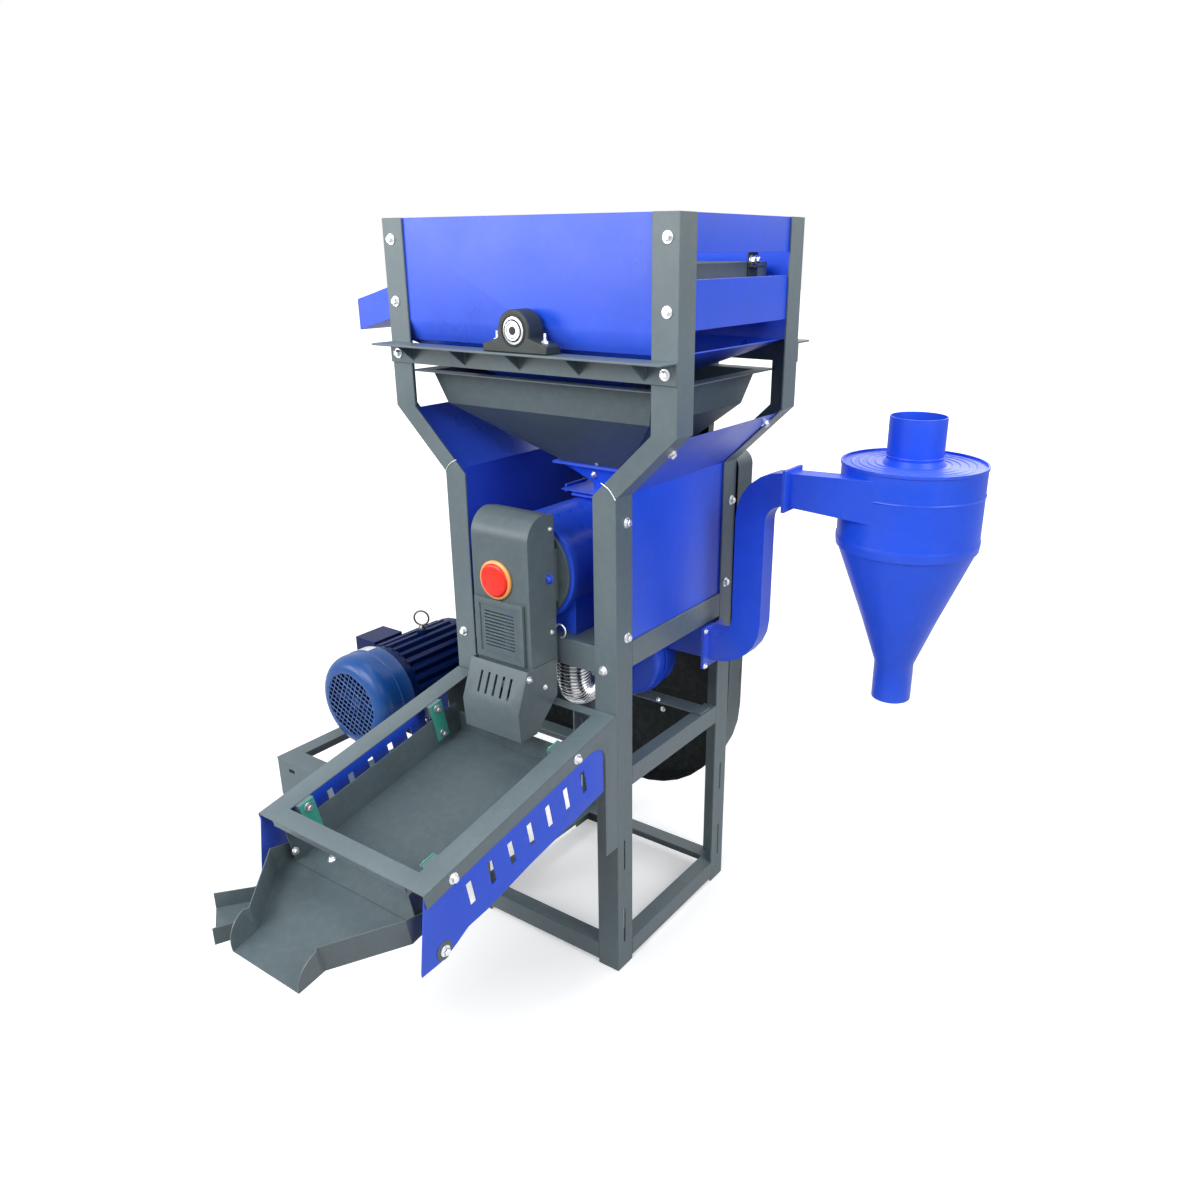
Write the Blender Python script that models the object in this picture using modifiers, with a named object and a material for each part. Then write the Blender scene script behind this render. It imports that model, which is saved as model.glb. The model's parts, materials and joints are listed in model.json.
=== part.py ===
"""Rice huller on an angle-steel frame, with a vibrating sieve on top, a roller mill, a grading tray and a cyclone.

Metres, +Z up. The machine frame below has X = 0 on the frame's middle plane with +X towards the cyclone,
Y = 0 on the front faces of the front legs with +Y to the rear, and Z = 0 on the floor.
"""

import math

import bmesh
import bpy
from mathutils import Matrix, Vector

# Clearances and stock
GAP = 0.0003
OVERRUN = 0.003
STEEL = 0.004
SHEET = 0.002
THIN = 0.0012
ROUND_STEPS = 28
SMALL_STEPS = 10

# Frame of steel angle
FRAME_HEIGHT = 1.44
POST_HALF = 0.32
LEG_HALF = 0.20
FRAME_DEPTH = 0.42
LOWER_BEND_Z = 0.99
UPPER_BEND_Z = 1.105
ANGLE = 0.05
UPPER_RAIL_TOP = 0.715
UPPER_RAIL_HEIGHT = 0.05
MID_RAIL_TOP = 0.455
RAIL_HEIGHT = 0.04
BASE_RAIL_TOP = 0.05
RAIL_FLANGE = 0.03
SLOT_WIDTH = 0.005
SLOT_INSET = 0.0225
UPPER_SLOT_Z = 0.235
UPPER_SLOT_LENGTH = 0.067
LOWER_SLOT_Z = 0.061
LOWER_SLOT_LENGTH = 0.08

# Bearing rails and pillow blocks of the eccentric shaft
RAIL_TOP = 1.2245
BEARING_RAIL_HEIGHT = 0.0375
BEARING_RAIL_DEPTH = 0.05
GUSSET_PITCH = 0.13
GUSSET_COUNT = 5
ECCENTRIC_X = 0.0245
BEARING_RISE = 0.0365
PILLOW_BASE = 0.14
PILLOW_DEPTH = 0.038
PILLOW_FOOT = 0.013
PILLOW_HEAD = 0.034
ECCENTRIC_SHAFT_R = 0.0125
ECCENTRIC_THROW = 0.006
ECCENTRIC_HUB_R = 0.022
ECCENTRIC_HUB_LENGTH = 0.03
SIEVE_STROKE = 0.008

# Sieve head: panels, bands, sieve box and catch pan
PANEL_BOTTOM = 1.265
BAND_GAP_LOW = 1.343
BAND_GAP_HIGH = 1.382
SIEVE_HALF = 0.262
SIEVE_Y0 = 0.03
SIEVE_CLEARANCE = 0.028
SIEVE_Y1 = FRAME_DEPTH - SIEVE_CLEARANCE
SIEVE_TOP = 1.365
SIEVE_BOTTOM = 1.30
SCREEN_DROP = 0.03
SPOUT_REACH = 0.489
SPOUT_Y0 = 0.07
SPOUT_Y1 = FRAME_DEPTH - SPOUT_Y0
SPOUT_BOTTOM = 1.2335
SPOUT_TOP = 1.293
CATCH_BOTTOM = 1.15
CATCH_MOUTH_HALF = 0.10
CATCH_HALF = 0.30

# Paddy hopper, feed transition and slide gate
HOPPER_RIM_Z = 1.170
HOPPER_HALF = 0.25
HOPPER_Y0 = 0.035
HOPPER_Y1 = FRAME_DEPTH - HOPPER_Y0
HOPPER_LIP = 0.03
HOPPER_BAND = 0.06
HOPPER_LEAN = 0.017
OUTLET_X0 = -0.062
OUTLET_X1 = 0.10
OUTLET_Y0 = 0.18
OUTLET_Y1 = 0.30
OUTLET_Z = 0.998
NECK_X0 = 0.010
NECK_X1 = 0.080
NECK_Y0 = 0.19
NECK_Y1 = 0.27
NECK_FLANGE_X0 = -0.03
NECK_FLANGE_X1 = 0.11
NECK_FLANGE_Y0 = 0.17
NECK_FLANGE_Y1 = 0.29
GATE_Z = 0.937
GATE_PLATE = 0.003
GATE_SIDE = 0.008
GATE_HANDLE = 0.035

# Mill: barrel, base, roller and its covers
MILL_Z = 0.83
BARREL_R = 0.10
BARREL_Y0 = 0.009
BARREL_Y1 = 0.31
BARREL_WALL = 0.006
END_DISC_R = 0.092
END_DISC_DEPTH = 0.006
MILL_SHAFT_R = 0.016
ROLLER_R = 0.045
SCREEN_R = 0.060
BASE_HALF = 0.085
BASE_Y0 = 0.03
BASE_Y1 = 0.29
SHELF_Z = 0.708
SHELF_DROP = 0.053
SHELF_SETBACK = 0.08
SHELF_DEPTH = FRAME_DEPTH - SHELF_SETBACK

# Discharge cover, door, cap and hood in front of the mill
COVER_X0 = -0.065
COVER_X1 = 0.068
COVER_FRONT = -0.08
COVER_BACK = -0.006
COVER_BOTTOM = 0.66
COVER_TOP = 0.952
COVER_ROUND = 0.045
DOOR_X0 = -0.060
DOOR_X1 = 0.055
DOOR_Z0 = 0.675
DOOR_Z1 = 0.7925
DOOR_DEPTH = 0.006
LOUVRES = 11
CAP_X = -0.008
CAP_R = 0.0365
CAP_DEPTH = 0.010
CAP_FACE_SHARE = 0.86
CAP_EDGE_SHARE = 0.4
HOOD_TOP = 0.672
HOOD_BEND = 0.598
HOOD_BOTTOM = 0.54
HOOD_TOP_Y = -0.095
HOOD_BEND_Y = -0.125
HOOD_BOTTOM_Y = -0.12

# Grading tray
TRAY_RISE = 0.5855
TRAY_HANG = 0.5855  # height over which the plates and the lower chute hang under the tray
TRAY_TILT = math.radians(11.13)
TRAY_HALF = 0.20
TRAY_LENGTH = 0.5035
TRAY_FLANGE = 0.027
TRAY_LIP = 0.012
TRAY_SIDE = 0.043
TRAY_FRONT = 0.034
TRAY_REAR = 0.022
BRACKET_FOOT = 0.30
BRACKET_WIDTH = 0.037
PAN_HALF = 0.150
PAN_DEPTH = 0.0952
PAN_WALL = 0.065
PAN_START = 0.075
PAN_END = 0.495
REAR_PIVOT = 0.1248
FRONT_PIVOT = 0.4429
PIVOT_DROP = 0.0115
LEAF_LENGTH = 0.082
LEAF_WIDTH = 0.031
LEAF_SPAN = 0.058
LEAF_PIN_R = 0.004
CHUTE_START = 0.470
CHUTE_SHOULDER = 0.523
CHUTE_NECK = 0.627
CHUTE_LIP = 0.676
CHUTE_HALF = 0.166
CHUTE_NECK_HALF = 0.083
CHUTE_LIP_HALF = 0.081
CHUTE_WALL = 0.05
CHUTE_LIP_WALL = 0.036

# Motor, its stand and belt drive
MOTOR_X = -0.60
MOTOR_Z = 0.372
MOTOR_FRONT = 0.027
COWL_LENGTH = 0.10
COWL_R = 0.115
BODY_R = 0.098
FIN_R = 0.110
FIN_COUNT = 28
BODY_CLEARANCE = 0.035
BODY_END = FRAME_DEPTH - BODY_CLEARANCE
MOTOR_SHAFT_R = 0.014
STAND_TOP = 0.26
STAND_OUTER = -0.715
STAND_INNER = -0.48
STAND_FRONT = -0.112
STAND_CLEARANCE = 0.02
STAND_REAR = FRAME_DEPTH - STAND_CLEARANCE
STAND_RAIL = 0.04
STAND_APRON = 0.10
STAND_SHELF = 0.05
WELD_STEP = 0.0005
FOOT_HALF_SPAN = 0.095
FOOT_WIDTH = 0.036
PULLEY_SETBACK = 0.014
PULLEY_FRONT = FRAME_DEPTH + PULLEY_SETBACK
BELT_WIDTH = 0.011
BELT_PITCH = 0.0145
BELT_THICK = 0.008
BELT_STEPS = 12
MOTOR_PULLEY_R = 0.045
MILL_PULLEY_R = 0.085
BLOWER_PULLEY_R = 0.038
MILL_SMALL_R = 0.045
ECCENTRIC_PULLEY_R = 0.062
GUARD_FRONT = FRAME_DEPTH + GAP
GUARD_DEPTH = 0.060
GUARD_BACK = FRAME_DEPTH + GUARD_DEPTH
GUARD_RIGHT = 0.205
GUARD_TOP = 1.0
GUARD_ARC_X = -0.045
GUARD_ARC_Z = 0.42
GUARD_ARC_R = 0.245
GUARD_MOTOR_R = 0.085
HEAD_GUARD_HALF = 0.085

# Blower, suction hose, riser duct and cyclone
BLOWER_X = 0.02
BLOWER_Z = 0.5675
BLOWER_R = 0.0925
BLOWER_Y0 = 0.265
DUCT_Y0 = 0.299
DUCT_Y1 = 0.341
DUCT_HEIGHT = 0.063
DUCT_LOW_TOP = 0.660
DUCT_X0 = 0.213
DUCT_RISE_X = 0.299
DUCT_HIGH_TOP = 1.002
DUCT_END = 0.372
DUCT_HIGH_FLANGE = 0.078
BEND_R = 0.035
HOSE_R = 0.035
HOSE_X = 0.045
HOSE_Y = 0.075
CYCLONE_X = 0.5605
CYCLONE_Y = 0.43
CYCLONE_R = 0.130
CYCLONE_LID_Z = 1.025
CYLINDER_BOTTOM = 0.868
CONE_TOP_R = 0.122
CONE_BOTTOM_R = 0.0375
CONE_BOTTOM = 0.63
PIPE_BOTTOM = 0.555
TOP_PIPE_R = 0.051
TOP_PIPE_TOP = 1.107
BEAD = 0.0015

# Small sizes of the sheet-metal and cast pieces
PANEL_FOLD = 0.016
PANEL_FOOT = 0.004
LEDGE_REACH = 0.04
YOKE_CLEARANCE = 0.001
YOKE_WALL = 0.006
SPOUT_FALL = 0.06
SCREEN_SLOTS = 14
SCREEN_MARGIN = 0.03
NECK_STRAIGHT = 0.02
FLANGE_EDGE = 0.012
OIL_HOLES = 3
OIL_HOLE_X = 0.028
OIL_HOLE_Y = 0.058
OIL_HOLE_PITCH = 0.036
OIL_HOLE_R = 0.003
COVER_CROWN_FALL = 0.006
MOUTH_HALF = 0.05
MOUTH_REACH = 0.02
DOOR_LAP = 0.008
DOOR_FRAME = 0.012
LOUVRE_EDGE = 0.010
LOUVRE_SLOT = 0.0025
HOOD_BACK_TOP = -0.012
HOOD_BACK_LOW = -0.075
HOOD_SLOTS = 5
HOOD_SLOT_PITCH = 0.018
HOOD_SLOT_MARGIN = 0.018
END_BELL = 0.022
SPIGOT = 0.008
FOOT_THICK = 0.012
FOOT_LENGTH = 0.04
MOTOR_EYE_Y = 0.27
EYE_SEAT = 0.006
EYE_R = 0.014
ROTOR_BORE = 0.07
BOX_REACH = 0.02
BOX_Y0 = 0.165
BOX_LENGTH = 0.09
BOX_Z = 0.03
BOX_HEIGHT = 0.07
COWL_ROUND = 0.016
GRILLE_SPOKES = 6
GRILLE_RINGS = 3
GRILLE_HUB_R = 0.012
GRILLE_BAR = 0.002
FAN_BLADES = 8
STAND_SLOT = 0.02
STAND_SLOT_Z = 0.02
GUARD_CORNER = 0.03
GUARD_MOTOR_X = -0.60
GUARD_SHOULDER = 0.075
GUARD_SLOT_Z = 0.477
GUARD_SLOT_LENGTH = 0.03
GUARD_SLOT_INSET = 0.012
SIEVE_GUARD_DEPTH = 0.023
SIEVE_GUARD_BACK = GUARD_BACK + SIEVE_GUARD_DEPTH
SIEVE_BELT_SETBACK = 0.052
SIEVE_BELT_Y = PULLEY_FRONT + SIEVE_BELT_SETBACK
COLLAR = 0.02
BLOWER_SHAFT_R = 0.01
DUCT_NECK = 0.035
DUCT_EDGE = 0.018
DUCT_EDGE_TOP = 0.0045
PADDLES = 6
HOSE_STEPS = 14
HOSE_CUFF = 0.012
HOSE_BEND = 0.075
LID_LAP = 0.006
HIGH_BEAD_Z = 0.972
LOW_BEAD_Z = 0.884
CYCLONE_STEPS = 40
INLET_TOP = 1.009
INLET_BOTTOM = 0.929
INLET_SHIFT = 0.003
PIPE_FLARE = 0.006
LID_DISH = 0.004
LID_RIM = 0.004
PIPE_DIP = 0.08
REAR_INSET = 0.004
GUSSET_START = 0.085
GUSSET_DROP = 0.05
TRAY_LIP_HALF = 0.16
LEAF_THICK = 0.002
HANGER_START = 0.500
HANGER_LENGTH = 0.045
HANGER_X = -0.112
PIN_CLEARANCE = 0.0012
BACK_WALL = 0.04
BACK_LEAN = 0.008
PLATE_REAR = 0.045
PLATE_SLOTS = 7
PLATE_SLOT_START = 0.11
PLATE_SLOT_PITCH = 0.05
PLATE_SLOT_WIDTH = 0.012
PLATE_SLOT_LENGTH = 0.045
PLATE_SLOT_TOP = 0.05

# Places along the tray as shares of its length and height
PLATE_EDGE_SHARES = (
    (1.010, 0.609),
    (1.010, 0.594),
    (0.912, 0.597),
    (0.858, 0.618),
    (0.804, 0.642),
    (0.715, 0.651),
    (0.493, 0.693),
    (0.274, 0.726),
    (0.0795, 0.758),
)
LOWER_CHUTE_SHARES = (
    ((-0.93, -0.914), (-0.50, -0.933), 0.598, 0.655),
    ((-0.95, -1.045), (-0.60, -1.142), 0.572, 0.620),
    ((-1.23, -1.134), (-0.815, -1.247), 0.550, 0.602),
)

# Fasteners
BOLT_R = 0.0075
BOLT_HEIGHT = 0.006

TRAY_COS = math.cos(TRAY_TILT)
TRAY_SIN = math.sin(TRAY_TILT)
X_AXIS = Vector((1, 0, 0))
Y_AXIS = Vector((0, 1, 0))
Z_AXIS = Vector((0, 0, 1))


def clear_scene():
    for old in list(bpy.data.objects):
        bpy.data.objects.remove(old, do_unlink=True)


def new_collection(name, hidden=False):
    collection = bpy.data.collections.new(name)
    collection.hide_render = hidden
    bpy.context.scene.collection.children.link(collection)
    return collection


clear_scene()
PARTS = new_collection("rice_huller")
CUTTERS = new_collection("cutters", hidden=True)


def paint(name, colour, roughness, metallic=0.0):
    material = bpy.data.materials.new(name)
    material.use_nodes = True
    shader = material.node_tree.nodes["Principled BSDF"]
    shader.inputs["Base Color"].default_value = (*colour, 1.0)
    shader.inputs["Roughness"].default_value = roughness
    shader.inputs["Metallic"].default_value = metallic
    material.diffuse_color = (*colour, 1.0)
    return material


BLUE = (0.03, 0.08, 0.75)
GREY = (0.13, 0.17, 0.20)
STEEL_BRIGHT = (0.62, 0.63, 0.65)
DARK = (0.02, 0.03, 0.035)
NAVY = (0.01, 0.05, 0.28)
IRON = (0.10, 0.12, 0.11)


def empty(name, place=(0, 0, 0), parent=None):
    holder = bpy.data.objects.new(name, None)
    holder.location = place
    holder.parent = parent
    holder.empty_display_size = ANGLE
    PARTS.objects.link(holder)
    return holder


# The rows of the library stand on the middle of their floor box, so the machine frame is moved there.
MACHINE_LEFT = min(STAND_OUTER, MOTOR_X - FIN_R - BOX_REACH)
MACHINE_RIGHT = CYCLONE_X + CYCLONE_R + BEAD
MACHINE_REAR = max(CYCLONE_Y + CYCLONE_R + BEAD, GUARD_BACK)
MACHINE_FRONT = -(CHUTE_LIP * TRAY_COS - (PAN_DEPTH + GAP) * TRAY_SIN)
MACHINE = empty("machine_frame", (-(MACHINE_LEFT + MACHINE_RIGHT) / 2, -(MACHINE_FRONT + MACHINE_REAR) / 2, 0))


def joint_empty(name, place):
    return empty(name, place, MACHINE)


MILL_AXIS = joint_empty("mill_axis", (0, 0, MILL_Z))
MOTOR_AXIS = joint_empty("motor_axis", (MOTOR_X, 0, MOTOR_Z))
BLOWER_AXIS = joint_empty("blower_axis", (BLOWER_X, 0, BLOWER_Z))
ECCENTRIC_AXIS = joint_empty("eccentric_axis", (ECCENTRIC_X, 0, RAIL_TOP + BEARING_RISE))
SIEVE_SLIDE = joint_empty("sieve_slide", (0, 0, SIEVE_BOTTOM))
GATE_SLIDE = joint_empty("gate_slide", (0, 0, GATE_Z))
DOOR_AXIS = joint_empty("door_axis", (DOOR_X1, COVER_FRONT - GAP, DOOR_Z0))
CAP_AXIS = joint_empty("cap_axis", (CAP_X, COVER_FRONT, MILL_Z))


def on_tray(x, forward, up):
    """A point given along the tray's slope and square to it, in the machine frame."""
    return Vector((x, -forward * TRAY_COS - up * TRAY_SIN, TRAY_RISE - forward * TRAY_SIN + up * TRAY_COS))


PAN_SLIDE = joint_empty("pan_slide", on_tray(0, PAN_START, -PAN_DEPTH))
REAR_LEAF_AXIS = joint_empty("rear_leaf_axis", on_tray(0, REAR_PIVOT, -PIVOT_DROP))
FRONT_LEAF_AXIS = joint_empty("front_leaf_axis", on_tray(0, FRONT_PIVOT, -PIVOT_DROP))


def mesh_from(shape):
    bmesh.ops.recalc_face_normals(shape, faces=shape.faces)
    mesh = bpy.data.meshes.new("shape")
    shape.to_mesh(mesh)
    shape.free()
    return mesh


def baked(source):
    """The object's evaluated mesh, with its place applied; the object itself is removed."""
    bpy.context.view_layer.update()
    graph = bpy.context.evaluated_depsgraph_get()
    mesh = bpy.data.meshes.new_from_object(source.evaluated_get(graph))
    mesh.transform(source.matrix_world)
    data = source.data
    bpy.data.objects.remove(source, do_unlink=True)
    if isinstance(data, bpy.types.Curve):
        bpy.data.curves.remove(data)
    shape = bmesh.new()
    shape.from_mesh(mesh)
    bpy.data.meshes.remove(mesh)
    bmesh.ops.remove_doubles(shape, verts=shape.verts, dist=GAP / 30)
    return mesh_from(shape)


def moved(mesh, matrix):
    mesh.transform(matrix)
    return mesh


def box(low, high):
    """A box between two corners."""
    low = Vector(low)
    high = Vector(high)
    size = high - low
    shape = bmesh.new()
    bmesh.ops.create_cube(shape, size=1.0)
    middle = Matrix.Translation((low + high) / 2)
    bmesh.ops.transform(shape, matrix=middle @ Matrix.Diagonal((*size, 1.0)), verts=shape.verts)
    return mesh_from(shape)


def tray_box(low, high):
    """A box given along the tray's slope: x, forward, up."""
    middle = Vector(((low[0] + high[0]) / 2, (low[1] + high[1]) / 2, (low[2] + high[2]) / 2))
    size = Vector((high[0] - low[0], high[1] - low[1], high[2] - low[2]))
    shape = bmesh.new()
    bmesh.ops.create_cube(shape, size=1.0)
    turn = Matrix.Rotation(TRAY_TILT, 4, "X")
    place = Matrix.Translation(on_tray(*middle))
    bmesh.ops.transform(shape, matrix=place @ turn @ Matrix.Diagonal((*size, 1.0)), verts=shape.verts)
    return mesh_from(shape)


def turn_to(axis):
    """A rotation that carries +Z to the axis."""
    return Vector(axis).normalized().to_track_quat("Z", "Y").to_matrix().to_4x4()


def rod(start, end, radius, end_radius=None, steps=ROUND_STEPS):
    """A cylinder or cone between two points."""
    start = Vector(start)
    end = Vector(end)
    shape = bmesh.new()
    bmesh.ops.create_cone(
        shape,
        cap_ends=True,
        segments=steps,
        radius1=radius,
        radius2=radius if end_radius is None else end_radius,
        depth=(end - start).length,
    )
    place = Matrix.Translation((start + end) / 2) @ turn_to(end - start)
    bmesh.ops.transform(shape, matrix=place, verts=shape.verts)
    return mesh_from(shape)


def turned(profile, place, axis=Z_AXIS, steps=ROUND_STEPS, ring=False):
    """A Screw of a profile of (radius, height) pairs that runs top to bottom down its outer side."""
    shape = bmesh.new()
    points = [shape.verts.new((radius, 0, height)) for radius, height in profile]
    for first, second in zip(points, points[1:]):
        shape.edges.new((first, second))
    if ring:
        shape.edges.new((points[-1], points[0]))
    mesh = bpy.data.meshes.new("profile")
    shape.to_mesh(mesh)
    shape.free()
    lathe = bpy.data.objects.new("lathe", mesh)
    CUTTERS.objects.link(lathe)
    screw = lathe.modifiers.new("turn", "SCREW")
    screw.steps = steps
    screw.render_steps = steps
    screw.use_merge_vertices = True
    screw.merge_threshold = GAP / 10
    lathe.matrix_world = Matrix.Translation(Vector(place)) @ turn_to(axis)
    return baked(lathe)


PLANES = {
    "x": Matrix(((0, 0, 1, 0), (1, 0, 0, 0), (0, 1, 0, 0), (0, 0, 0, 1))),
    "y": Matrix(((1, 0, 0, 0), (0, 0, -1, 0), (0, 1, 0, 0), (0, 0, 0, 1))),
    "z": Matrix.Identity(4),
}


def plate(outlines, plane, start, end):
    """A flat plate. Outlines are (y, z), (x, z) or (x, y) pairs for planes x, y and z, holes after the edge."""
    curve = bpy.data.curves.new("outline", "CURVE")
    curve.dimensions = "2D"
    curve.fill_mode = "BOTH"
    curve.extrude = abs(end - start) / 2
    for outline in outlines:
        spline = curve.splines.new("POLY")
        spline.points.add(len(outline) - 1)
        spline.use_cyclic_u = True
        for point, (along, across) in zip(spline.points, outline):
            point.co = (along, across, 0, 1)
    sheet = bpy.data.objects.new("sheet", curve)
    CUTTERS.objects.link(sheet)
    shift = {"x": X_AXIS, "y": Y_AXIS, "z": Z_AXIS}[plane] * ((start + end) / 2)
    sheet.matrix_world = Matrix.Translation(shift) @ PLANES[plane]
    return baked(sheet)


def arc(centre, radius, start, end, steps):
    """Points of an arc in a plane; angles in degrees, ends included."""
    points = []
    for index in range(steps + 1):
        angle = math.radians(start + (end - start) * index / steps)
        points.append((centre[0] + radius * math.cos(angle), centre[1] + radius * math.sin(angle)))
    return points


def rectangle(low, high):
    return [(low[0], low[1]), (high[0], low[1]), (high[0], high[1]), (low[0], high[1])]


def tube(points, radius, steps=2, cyclic=False):
    """A round bar along points: a bevelled curve with filled caps."""
    curve = bpy.data.curves.new("route", "CURVE")
    curve.dimensions = "3D"
    curve.bevel_depth = radius
    curve.bevel_resolution = steps
    curve.use_fill_caps = not cyclic
    spline = curve.splines.new("POLY")
    spline.points.add(len(points) - 1)
    spline.use_cyclic_u = cyclic
    for point, place in zip(spline.points, points):
        point.co = (*place, 1)
    wire = bpy.data.objects.new("wire", curve)
    CUTTERS.objects.link(wire)
    return baked(wire)


def loft(rings, capped=True):
    """A skin through rings of equally many points, closed at both ends unless it is an open surface."""
    shape = bmesh.new()
    rows = [[shape.verts.new(point) for point in ring] for ring in rings]
    count = len(rings[0])
    for lower, upper in zip(rows, rows[1:]):
        for index in range(count):
            after = (index + 1) % count
            shape.faces.new((lower[index], lower[after], upper[after], upper[index]))
    if not capped:
        mesh = bpy.data.meshes.new("sheet")
        shape.to_mesh(mesh)
        shape.free()
        return mesh
    shape.faces.new(rows[0][::-1])
    shape.faces.new(rows[-1])
    return mesh_from(shape)


def skin(rings, thickness):
    """A shell: an open loft whose wall Solidify puts on its inner side."""
    mesh = loft(rings, capped=False)
    sheet = bpy.data.objects.new("sheet", mesh)
    CUTTERS.objects.link(sheet)
    wall = sheet.modifiers.new("wall", "SOLIDIFY")
    wall.thickness = thickness
    wall.offset = -1
    wall.use_even_offset = True
    return baked(sheet)


def level_ring(low, high, height):
    """A rectangular ring of four corners at a height, from its (x, y) limits."""
    return [Vector((x, y, height)) for x, y in rectangle(low, high)]


def merged(*meshes):
    """Separate bodies gathered in one mesh."""
    shape = bmesh.new()
    for mesh in meshes:
        shape.from_mesh(mesh)
    result = bpy.data.meshes.new("group")
    shape.to_mesh(result)
    shape.free()
    return result


def helper(name, mesh):
    tool = bpy.data.objects.new(name, mesh)
    tool.display_type = "WIRE"
    tool.hide_render = True
    tool.parent = MACHINE
    CUTTERS.objects.link(tool)
    return tool


def piece(name, body, material, carrier=None, joined=(), cuts=()):
    """A named part from a body, with meshes joined to it and meshes cut from it, carried by a joint's empty."""
    part = bpy.data.objects.new(name, body)
    PARTS.objects.link(part)
    part.parent = carrier or MACHINE
    if carrier:
        part.location = -carrier.location
    part.data.materials.append(material)
    part.data.shade_smooth()
    part.data.set_sharp_from_angle(angle=math.radians(35))
    for index, mesh in enumerate(joined):
        step = part.modifiers.new(f"join_{index}", "BOOLEAN")
        step.operation = "UNION"
        step.object = helper(f"{name}_join_{index}", mesh)
    for index, mesh in enumerate(cuts):
        step = part.modifiers.new(f"cut_{index}", "BOOLEAN")
        step.operation = "DIFFERENCE"
        step.object = helper(f"{name}_cut_{index}", mesh)
    return part


FRAME_PAINT = paint("frame_paint", GREY, 0.45)
BLUE_PAINT = paint("blue_paint", BLUE, 0.4)


def leg_half(z):
    """Half-width of the frame's outside at a height: narrow legs, sloping shoulders, wide posts."""
    if z <= LOWER_BEND_Z:
        return LEG_HALF
    if z >= UPPER_BEND_Z:
        return POST_HALF
    share = (z - LOWER_BEND_Z) / (UPPER_BEND_Z - LOWER_BEND_Z)
    return LEG_HALF + (POST_HALF - LEG_HALF) * share


def make_legs():
    for front in (True, False):
        for side in (-1, 1):
            face_y = 0.0 if front else FRAME_DEPTH
            inward = 1 if front else -1
            rings = []
            for z in (0, LOWER_BEND_Z, UPPER_BEND_Z, FRAME_HEIGHT):
                x = side * leg_half(z)
                section = (
                    (0, 0),
                    (ANGLE, 0),
                    (ANGLE, STEEL),
                    (STEEL, STEEL),
                    (STEEL, ANGLE),
                    (0, ANGLE),
                )
                rings.append([Vector((x - side * u, face_y + inward * v, z)) for u, v in section])
            slots = []
            for low, length in ((UPPER_SLOT_Z, UPPER_SLOT_LENGTH), (LOWER_SLOT_Z, LOWER_SLOT_LENGTH)):
                middle_y = face_y + inward * SLOT_INSET
                x = side * LEG_HALF
                slots.append(
                    box(
                        (x - STEEL - OVERRUN, middle_y - SLOT_WIDTH / 2, low),
                        (x + STEEL + OVERRUN, middle_y + SLOT_WIDTH / 2, low + length),
                    )
                )
            name = f"{'front' if front else 'rear'}_leg_{'left' if side < 0 else 'right'}"
            piece(name, loft(rings), FRAME_PAINT, cuts=slots)


def side_bar(side, top, height):
    """An angle bar between the legs of one side, its upright flange flush with theirs."""
    x = side * LEG_HALF
    section = (
        (0, 0),
        (0, -height),
        (-STEEL, -height),
        (-STEEL, -STEEL),
        (-RAIL_FLANGE, -STEEL),
        (-RAIL_FLANGE, 0),
    )
    ends = (ANGLE + GAP, FRAME_DEPTH - ANGLE - GAP)
    return loft([[Vector((x + side * u, y, top + v)) for u, v in section] for y in ends])


def make_side_rails():
    for side, word in ((-1, "left"), (1, "right")):
        piece(f"upper_side_rail_{word}", side_bar(side, UPPER_RAIL_TOP, UPPER_RAIL_HEIGHT), FRAME_PAINT)
        piece(f"mid_side_rail_{word}", side_bar(side, MID_RAIL_TOP, RAIL_HEIGHT), FRAME_PAINT)


def make_base_frame():
    """The ring of four angle bars at the feet: upright flanges between the legs, level flanges welded inside."""
    edge = LEG_HALF - STEEL - GAP
    near = STEEL + GAP
    far = FRAME_DEPTH - near
    half = edge - RAIL_FLANGE
    inside = rectangle((-half, near + RAIL_FLANGE), (half, far - RAIL_FLANGE))
    ring = plate([rectangle((-edge, near), (edge, far)), inside[::-1]], "z", BASE_RAIL_TOP - STEEL, BASE_RAIL_TOP)
    bars = [side_bar(side, BASE_RAIL_TOP, RAIL_HEIGHT) for side in (-1, 1)]
    span = LEG_HALF - ANGLE - GAP
    low = BASE_RAIL_TOP - RAIL_HEIGHT
    for outer, inward in ((0.0, 1), (FRAME_DEPTH, -1)):
        section = (
            (0, BASE_RAIL_TOP),
            (0, low),
            (STEEL, low),
            (STEEL, BASE_RAIL_TOP - STEEL),
            (RAIL_FLANGE, BASE_RAIL_TOP - STEEL),
            (RAIL_FLANGE, BASE_RAIL_TOP),
        )
        bars.append(loft([[Vector((x, outer + inward * v, z)) for v, z in section] for x in (-span, span)]))
    piece("base_frame", ring, FRAME_PAINT, joined=bars)


def make_mid_cross_rail():
    """The flat bar that lies across the middle side rails and carries the blower's foot."""
    low = MID_RAIL_TOP + GAP
    far = LEG_HALF - STEEL
    tie_y = FRAME_DEPTH - ANGLE - RAIL_HEIGHT * 1.5
    tie = box((-far, tie_y, low), (far, tie_y + RAIL_HEIGHT, low + STEEL))
    piece("mid_cross_rail", tie, FRAME_PAINT)


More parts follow.
